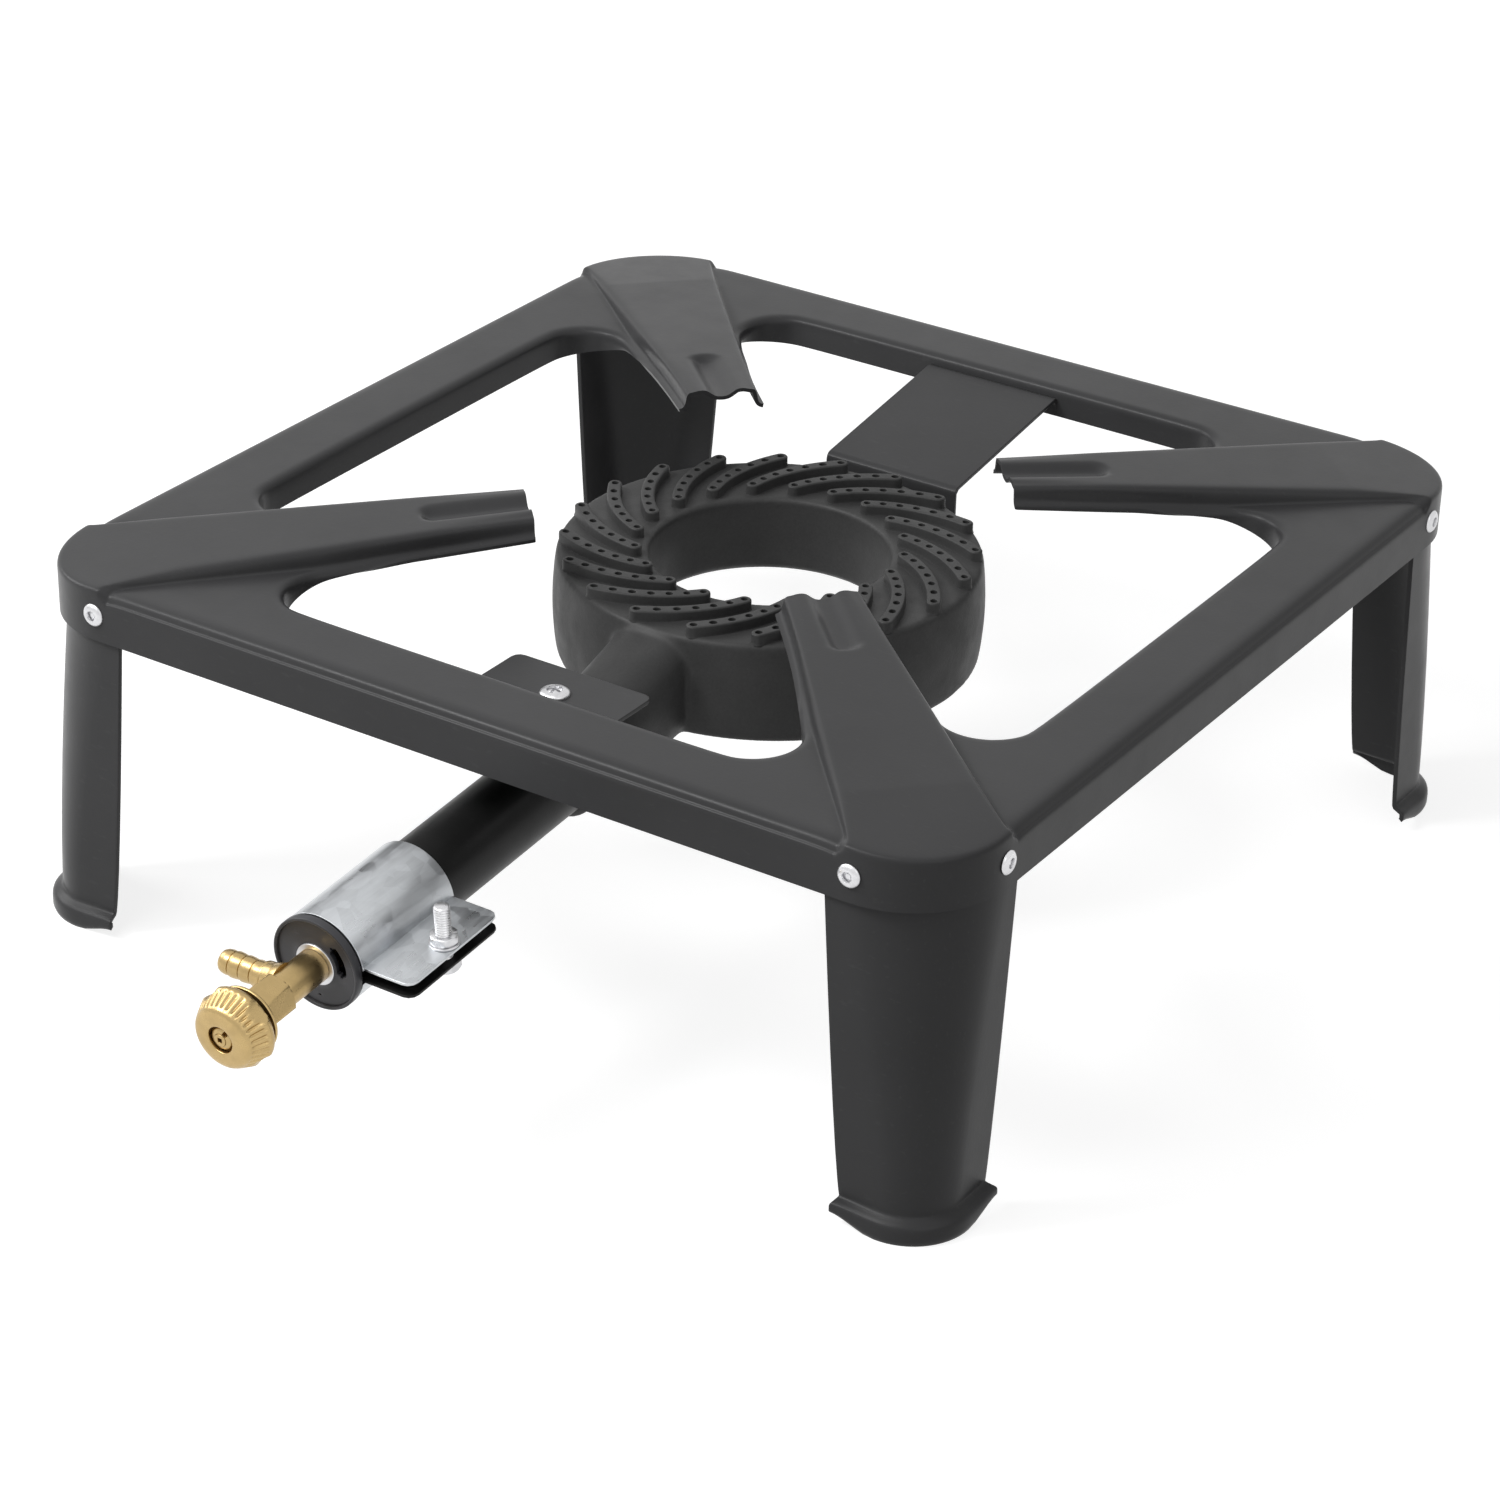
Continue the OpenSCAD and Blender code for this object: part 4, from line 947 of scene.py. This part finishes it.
ribSet = {
    "count": 20,
    "inner": 51.8,
    "outer": 78.1,
    "wide": 5.4,
    "sweep": -28.5,
    "start": 4.5,
    "holes": 7,
    "holeR": 1.3,
    "top": 134,
    "steps": 16,  # points round a cell
    "near": 0.01,  # share of the curve that gives its direction
    "almost": 1e-6,
    # inset and depth below the top, from the wall's foot up to the flat
    "edge": ((-0.35, 4.4), (-0.15, 3.9), (0, 3.2), (0, 0.75), (0.12, 0.32), (0.4, 0.05), (0.62, 0)),
    "rim": ((0.16, 0), (0.02, 0.14), (0, 0.5), (0, 4.3)),
}


def makeRibs(s, body):
    parts = []
    steps = s["steps"]
    last = s["holes"] - 1

    def middle(share):
        a = radians(s["sweep"] * share)
        return np.array(polar(mix(s["inner"], s["outer"], share), a))

    def frameAt(share):
        d = middle(share + s["near"]) - middle(share - s["near"])
        d = d / np.linalg.norm(d)
        return middle(share), d, np.array((-d[1], d[0]))

    reach = np.linalg.norm(middle(1 / last) - middle(0)) / 2
    for k in range(s["count"]):
        turn = radians(s["start"] + 360 * k / s["count"])
        cosT, sinT = cos(turn), sin(turn)
        for p in range(s["holes"]):
            points, faces = [], []
            share = p / last

            def placed(u, v, z):
                t = share + u / reach / 2 / last
                at, ahead, side = frameAt(min(max(t, 0), 1))
                x, y = at + ahead * (0 if 0 <= t <= 1 else u) + side * v
                points.append((x * cosT - y * sinT, x * sinT + y * cosT + body["ringY"], z))

            def outer(m, inset):
                a = 2 * pi * m / steps
                c, n, r = cos(a), sin(a), s["wide"] / 2 - inset
                if (p == 0 and c < -s["almost"]) or (p == last and c > s["almost"]):
                    return r * c, r * n
                q = max(abs(c), abs(n))
                return c / q * reach, n / q * r

            levels = len(s["edge"])
            for inset, drop in s["edge"]:
                for m in range(steps):
                    placed(*outer(m, inset), s["top"] - drop)
            for grow, drop in s["rim"]:
                for m in range(steps):
                    placed(*polar(s["holeR"] + grow, 2 * pi * m / steps), s["top"] - drop)
            for m in range(steps):
                a = 2 * pi * (m + 0.5) / steps
                inside = abs(cos(a)) > abs(sin(a))  # this side of the cell meets the next cell
                capped = (p == 0 and cos(a) < 0) or (p == last and cos(a) > 0)
                n = (m + 1) % steps
                for i in range(levels + len(s["rim"]) - 1):
                    if i < levels - 1 and inside and not capped:
                        continue
                    faces.append((i * steps + m, i * steps + n, (i + 1) * steps + n, (i + 1) * steps + m))
            parts.append((points, faces))
    turnedPiece("burnerRibs", parts, "stove", "burner_iron", "burner_casting")


makeRibs(ribSet, burnerSet)
print("burner made")

# Valve: a forged body, its barb, the gland nut with its collar, the spindle and the fluted knob

valveSet = {
    "barrel": ((0, 66), (4.6, 66), (5, 66.4), (5, 77.3), (5.7, 77.4), (6.15, 77.55), (6.3, 77.9), (6.3, 96),
               (6.1, 97.2), (5, 98)),
    "hex": (14.5, 96.9, 111),
    "hexTurn": radians(15),
    "thread": ((0, 110), (5.4, 110), (5.4, 116.2), (5.1, 116.5), (3.05, 116.5)),
    "boss": ((3.4, 3), (7, 3), (6.3, 5.4), (5.9, 6), (5.65, 6.8), (5.6, 8.7), (5.45, 8.92), (3.4, 9)),
    "bossAt": 91,
    "bossX": 9,
    "reach": 28,
    "barbR": 4.8,
    "teeth": 3,
    # radius and distance from the boss; a tooth and the nose count from the barb's radius and their own end
    "barbRoot": ((4.6, -3), (5.55, 0), (5.6, 0.3), (5.5, 1), (4.75, 1.5)),
    "barbTooth": ((-0.1, -2.1375), (0, -0.5), (-0.12, -0.12), (-0.75, 0.05), (-0.8, 0.3), (-0.38, 0.55)),
    "barbNose": ((-0.25, -2.6125), (-0.5, -1.1), (-0.85, -0.3), (-1.15, 0), (-2.1, 0), (-2.3, -0.2)),
    "glandHex": (14, 111.15, 117.4),
    "glandBore": 5.45,
    "collar": ((5.5, 112.1), (11.6, 112.1), (12.1, 112.2), (12.3, 112.5), (12.3, 113), (12.1, 113.3),
               (11.6, 113.4), (5.5, 113.4), (5.5, 112.1)),
    "stem": ((0, 81), (0.75, 81), (1.5, 83), (3, 86), (3, 123.5), (2.4, 123.5), (2.4, 127.1), (2.25, 127.4),
             (1.95, 127.5), (0.95, 127.45), (0.85, 127.2), (0.85, 125.4), (0, 125.4)),
    "square": (1, 125),  # the stem's profile is square inside this radius, above this height
    "nut": ((2.45, 123.55), (4.3, 123.55), (4.3, 125.7), (4.15, 126.3), (3.75, 126.7), (2.7, 127.05),
            (2.45, 127.1), (2.45, 123.55)),
    "slot": (0.7, 125.2, 0.6),  # half width, bottom and turn
}


def sidePlace(x, y, h):
    return feedPlace(-h, x, valveSet["bossAt"] + y)


def barbProfile(s):
    r, root = s["barbR"], s["bossX"]
    run = (s["reach"] - root) / (s["teeth"] + 1)
    rows = [(q, root + h) for q, h in s["barbRoot"]]
    for k in range(s["teeth"]):
        rows += [(r + q, root + run * (k + 1) + h) for q, h in s["barbTooth"]]
    rows += [(r + q, s["reach"] + h) for q, h in s["barbNose"]]
    return rows + [(rows[-1][0], rows[0][1])]


def makeValve(s):
    body = [turned(s["barrel"], even, feedPlace), hexBar(*s["hex"], feedPlace, turn=s["hexTurn"]),
            turned(s["thread"], coarse, feedPlace), turned(s["boss"], even, sidePlace)]
    turnedPiece("valveBody", body, "stove", "brass", "valve_body")
    turnedPiece("hoseBarb", [turned(barbProfile(s), even, sidePlace)], "stove", "brass", "hose_barb")
    gland = [hexBar(*s["glandHex"], feedPlace, s["glandBore"]), turned(s["collar"], fine, feedPlace)]
    turnedPiece("glandNut", gland, "stove", "brass", "gland_nut")

    def square(r, h, a):
        inside = 0 < r < s["square"][0] and h > s["square"][1]
        return r / max(abs(cos(a)), abs(sin(a))) if inside else r

    def slotted(x, up, h):
        half, bottom, turn = s["slot"]
        across = x * cos(turn) - up * sin(turn)
        along = x * sin(turn) + up * cos(turn)
        return feedPlace(x, up, min(h, bottom) if abs(across) < half and along > 0 else h)

    stem = turned(s["stem"], even, feedPlace, square)
    turnedPiece("valveStem", [stem], "valve_stem", "brass", "valve_spindle")
    turnedPiece("knobNut", [turned(s["nut"], fine, slotted)], "knob", "brass", "knob_nut")


makeValve(valveSet)

knobSet = {
    "profile": ((3.05, 120.5), (10.5, 120.5), (10.5, 115.7), (10.7, 115.5), (12.5, 115.5), (13.2, 115.6),
                (13.9, 116), (14.5, 116.7), (14.82, 117.5), (14.9, 118.2), (14.85, 118.8), (14.68, 119.3),
                (14.5, 119.8), (14.2, 120.5), (13.85, 121.3), (13.45, 122.2), (13.05, 123.1), (12.65, 124),
                (12.3, 124.7), (11.95, 125.4), (11.5, 126.1), (11, 126.6), (10.3, 127), (9.3, 127.28),
                (8, 127.43), (6.6, 127.5), (5.6, 127.48), (5.2, 127.36), (5.03, 127.15), (5, 126.8),
                (5, 123.5), (3.05, 123.5), (3.05, 120.5)),
    "plainR": 9,
    "flutes": 36,
    "fluteSides": 14,
    "fluteR": 11,
    "fluteDepth": 0.75,
    "fluteCurve": 1.6,
    "fluteEnds": (118.9, 120, 124.2, 125.6),
    "scallops": 4,
    "scallopR": 12,
    "scallopDepth": 1.6,
    "wide": 14.9,
    "soft": 0.25,
}


def makeKnob(s):
    away = s["wide"] + s["scallopR"] - s["scallopDepth"]
    e = s["fluteEnds"]

    def shaped(r, h, a):
        if r < s["plainR"]:
            return r
        if r > s["fluteR"]:
            fade = eased((h - e[0]) / (e[1] - e[0])) * eased((e[3] - h) / (e[3] - e[2]))
            r -= (0.5 + 0.5 * cos(a * s["flutes"])) ** s["fluteCurve"] * s["fluteDepth"] * fade
        d = ((a * s["scallops"] / (2 * pi)) % 1 - 0.5) * 2 * pi / s["scallops"]
        reach = s["scallopR"] ** 2 - (away * sin(d)) ** 2
        if reach <= 0:
            return r
        cut = away * cos(d) - sqrt(reach)
        gap = min(max(0.5 + (cut - r) / s["soft"] / 2, 0), 1)
        return mix(cut, r, gap) - s["soft"] * gap * (1 - gap)

    knob = turned(s["profile"], s["flutes"] * s["fluteSides"], feedPlace, shaped)
    turnedPiece("controlKnob", [knob], "knob", "brass", "control_knob")


makeKnob(knobSet)
print("valve and knob made")

# Clamp: a bolt with a cut thread, its nut and washer

clampSet = {
    "across": 31.8,
    "along": 46.8,
    "low": -3.8,
    "top": 17.5,
    "r": 3,
    "sides": 40,
    "thread": 0.42,
    "threadPitch": 1,
    "threadStep": 0.125,
    "threadEnd": (0.2, 0.7),
    # inward from the radius and down from the top
    "point": ((0.15, 0.45), (0.5, 0.08), (0.65, 0)),
    "flats": 9.4,
    "headLow": -7.8,
    "nut": (3.1, 6.3),
    "nutBore": 2.6,
    "nutTurn": radians(20),
    "washer": ((3.1, 2.25), (5.3, 2.25), (5.5, 2.4), (5.5, 2.95), (5.35, 3.1), (3.1, 3.1), (3.1, 2.25)),
}


def makeClamp(s):
    low, top, step = s["low"], s["top"], s["threadStep"]
    ending, fade = s["threadEnd"]

    def upright(x, y, h):
        return feedPlace(s["across"] + x, h, s["along"] + y)

    def cut(r, h, a):
        if r == 0:
            return r
        turnShare = (h / s["threadPitch"] - a / (2 * pi)) % 1
        return r - s["thread"] * (1 - abs(2 * turnShare - 1)) * eased((top - ending - h) / fade)

    rows = [(0, low)] + [(s["r"], low + step * n) for n in range(int((top - fade - low) / step) + 1)]
    rows += [(s["r"] - inward, top - down) for inward, down in s["point"]] + [(0, top)]
    bolt = [turned(rows, s["sides"], upright, cut), hexBar(s["flats"], s["headLow"], low, upright)]
    turnedPiece("clampBolt", bolt, "air_shutter", "zinc_hardware", "clamp_bolt")
    nut = hexBar(s["flats"], *s["nut"], upright, s["nutBore"], s["nutTurn"])
    turnedPiece("clampNut", [nut], "air_shutter", "zinc_hardware", "clamp_nut")
    washer = turned(s["washer"], even, upright)
    turnedPiece("clampWasher", [washer], "air_shutter", "zinc_hardware", "clamp_washer")


makeClamp(clampSet)

# The CAD pieces that only get rounded edges, and how wide those are

edgeWidths = {
    "stove": {"front_bracket": 0.3, "rear_strap": 0.3, "rear_strap_screw": 0.15, "mixing_tube": 0.3,
              "spud_washer": 0.3},
    "air_shutter": {"air_sleeve": 0.16, "sleeve_liner": 0.16},
}
for bodyName, members in edgeWidths.items():
    for nodeName, edgeWidth in members.items():
        softened(nodeName, bodyName, edgeWidth)
print("sheet pieces softened")

# Pan-head screw of the front bracket, with a cross pressed into its low head

screwSet = {
    "at": (0.3, -139.2, 127.4),
    "profile": ((0, -8), (2.9, -8), (3, -7.8), (3, 0), (5.5, 0), (5.6, 0.15), (5.6, 0.8), (5.4, 1.3),
                (4.9, 1.75), (4, 2.1), (3, 2.3)),
    # the head's middle: radius step, height and how it falls, with the rings that the cross needs
    "crown": (0.25, 2.4, 0.0075, 11),
    "cross": (0.5, 2.6),  # half width and reach of its arms
    "crossFloor": 1.5,
    "deep": 1.1,
}


def makeScrew(s):
    step, high, fall, rings = s["crown"]

    def place(x, y, h):
        u, v = sorted((abs(x), abs(y)))
        crossed = u < s["cross"][0] and v < s["cross"][1] and h > s["crossFloor"]
        return x + s["at"][0], y + s["at"][1], s["at"][2] + (h - s["deep"] if crossed else h)

    rows = list(s["profile"]) + [(step * n, high - fall * n * n) for n in range(rings, -1, -1)]
    turnedPiece("bracketScrew", [turned(rows, fine, place)], "stove", "zinc_hardware", "front_bracket_screw")


makeScrew(screwSet)

# End disc: a stamped plate with a rolled rim, one air hole and a drain hole

discSet = {
    "face": 76.2,
    "back": 74,
    "rings": (5.1, 5.6, 6.4, 7.2, 8.1, 8.8, 9.3, 10.2, 11.2, 12, 12.5, 12.7, 13.3, 13.6, 14.6, 15.6, 16.3,
              16.7),
    "hub": (0.5, 7.5, 3),
    # a hole's radii, its start and end in degrees and how far its ends are rounded
    "holes": ((8.8, 12.5, -14, 52, 14), (12.7, 13.3, 268, 273, 0)),
    "spokes": 144,
    "edge": (0.2, 2, 50),
    "rim": ((16.6, 74), (17.5, 74), (17.9, 74.35), (17.9, 76.8), (17.75, 77.15), (17.4, 77.3), (17, 77.3),
            (16.7, 77.1), (16.6, 76.8), (16.6, 74)),
    "spigot": ((12.1, 71), (13.1, 71), (13.2, 71.1), (13.2, 74.4), (11.9, 74.4), (11.9, 71.1), (12.1, 71)),
}


def makeDisc(s):
    points, faces = [], []
    count = s["spokes"]
    hubRise, hubR, hubRun = s["hub"]
    for r in s["rings"]:
        for n in range(count):
            a = 2 * pi * n / count
            rise = hubRise * (1 - eased((r - hubR) / hubRun))
            points.append(feedPlace(*polar(r, a), s["face"] + rise))
    for i in range(len(s["rings"]) - 1):
        r = (s["rings"][i] + s["rings"][i + 1]) / 2
        for n in range(count):
            turn = 360 * (n + 0.5) / count
            bored = False
            for low, high, start, end, rounding in s["holes"]:
                ends = abs(r - (low + high) / 2) / (high - low) * rounding
                bored = bored or (low < r < high and (turn - start - ends) % 360 < end - start - 2 * ends)
            if not bored:
                m = (n + 1) % count
                faces.append((i * count + n, (i + 1) * count + n, (i + 1) * count + m, i * count + m))
    plate = newPiece("discPlate", points, faces, "stove", "disc_paint")
    modify(plate, "SOLIDIFY", thickness=(s["face"] - s["back"]) * mm, offset=-1)
    bevel(plate, *s["edge"])
    bakeShaded(plate)
    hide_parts("end_disc")
    rim = [turned(s["rim"], fine, feedPlace), turned(s["spigot"], fine, feedPlace)]
    turnedPiece("discRim", rim, "stove", "disc_paint", "end_disc")


makeDisc(discSet)
print("end disc made")

# Floor, light and surroundings

stageSet = {
    "floor": 6,
    "floorColour": 0.42,
    "floorRough": 0.9,
    # the floor glows by the first number near the stove and by the second far off, between these distances
    "floorGlow": (0.82, 1.1),
    "fade": (0.7, 1.8),
    "ambient": 0.22,
    # place, side and power
    "lamps": {
        "key": ((-0.3, -0.75, 1.35), 0.9, 7.5),
        "fill": ((1.6, -0.9, 1.3), 1.2, 2.8),
        "edge": ((-1.6, -0.25, 1), 0.8, 9),
        "glint": ((-0.95, -0.95, 1.48), 0.5, 14),
    },
}


def seenRays(tree):
    rays = addNode(tree, "ShaderNodeLightPath")
    seen = mathNode(tree, "MAXIMUM", rays.outputs["Is Camera Ray"], rays.outputs["Is Glossy Ray"])
    return mathNode(tree, "MAXIMUM", seen, rays.outputs["Is Transmission Ray"])


def makeStage(s):
    mesh = bpy.data.meshes.new("floor")
    h = s["floor"] / 2
    mesh.from_pydata([(-h, -h, 0), (h, -h, 0), (h, h, 0), (-h, h, 0)], [], [(0, 1, 2, 3)])
    floor = newObject("floor", mesh)
    material, tree, shader = newMaterial("paleFloor")
    setInputs(shader, Base_Color=grey(s["floorColour"]), Emission_Color=grey(1), Roughness=s["floorRough"],
              Specular_IOR_Level=0)
    place = addNode(tree, "ShaderNodeTexCoord")
    away = addNode(tree, "ShaderNodeVectorMath", operation="LENGTH")
    tree.links.new(place.outputs["Object"], away.inputs[0])
    glow = rampNode(tree, away.outputs["Value"], *s["fade"], *s["floorGlow"])
    join(tree, shader.inputs, Emission_Strength=times(tree, seenRays(tree), glow))
    mesh.materials.append(material)


def makeWorld(s):
    world = bpy.data.worlds.new("studio")
    bpy.context.scene.world = world
    world.use_nodes = True
    tree = world.node_tree
    background = tree.nodes["Background"]
    bright = rampNode(tree, seenRays(tree), 0, 1, s["ambient"], 1)
    join(tree, background.inputs, Strength=bright)
    setInputs(background, Color=(1, 1, 1, 1))


def areaLight(name, place, side, power):
    data = bpy.data.lights.new(name, "AREA")
    data.shape = "RECTANGLE"
    data.size, data.size_y = side, side
    data.energy = power
    lamp = newObject(name, data)
    lamp.location = place
    lamp.rotation_mode = "QUATERNION"
    lamp.rotation_quaternion = (-Vector(place)).to_track_quat("-Z", "Y")


makeStage(stageSet)
makeWorld(stageSet)
for lampName, lamp in stageSet["lamps"].items():
    areaLight(lampName, *lamp)
print("stage made")

bpy.context.scene.view_settings.view_transform = "Standard"
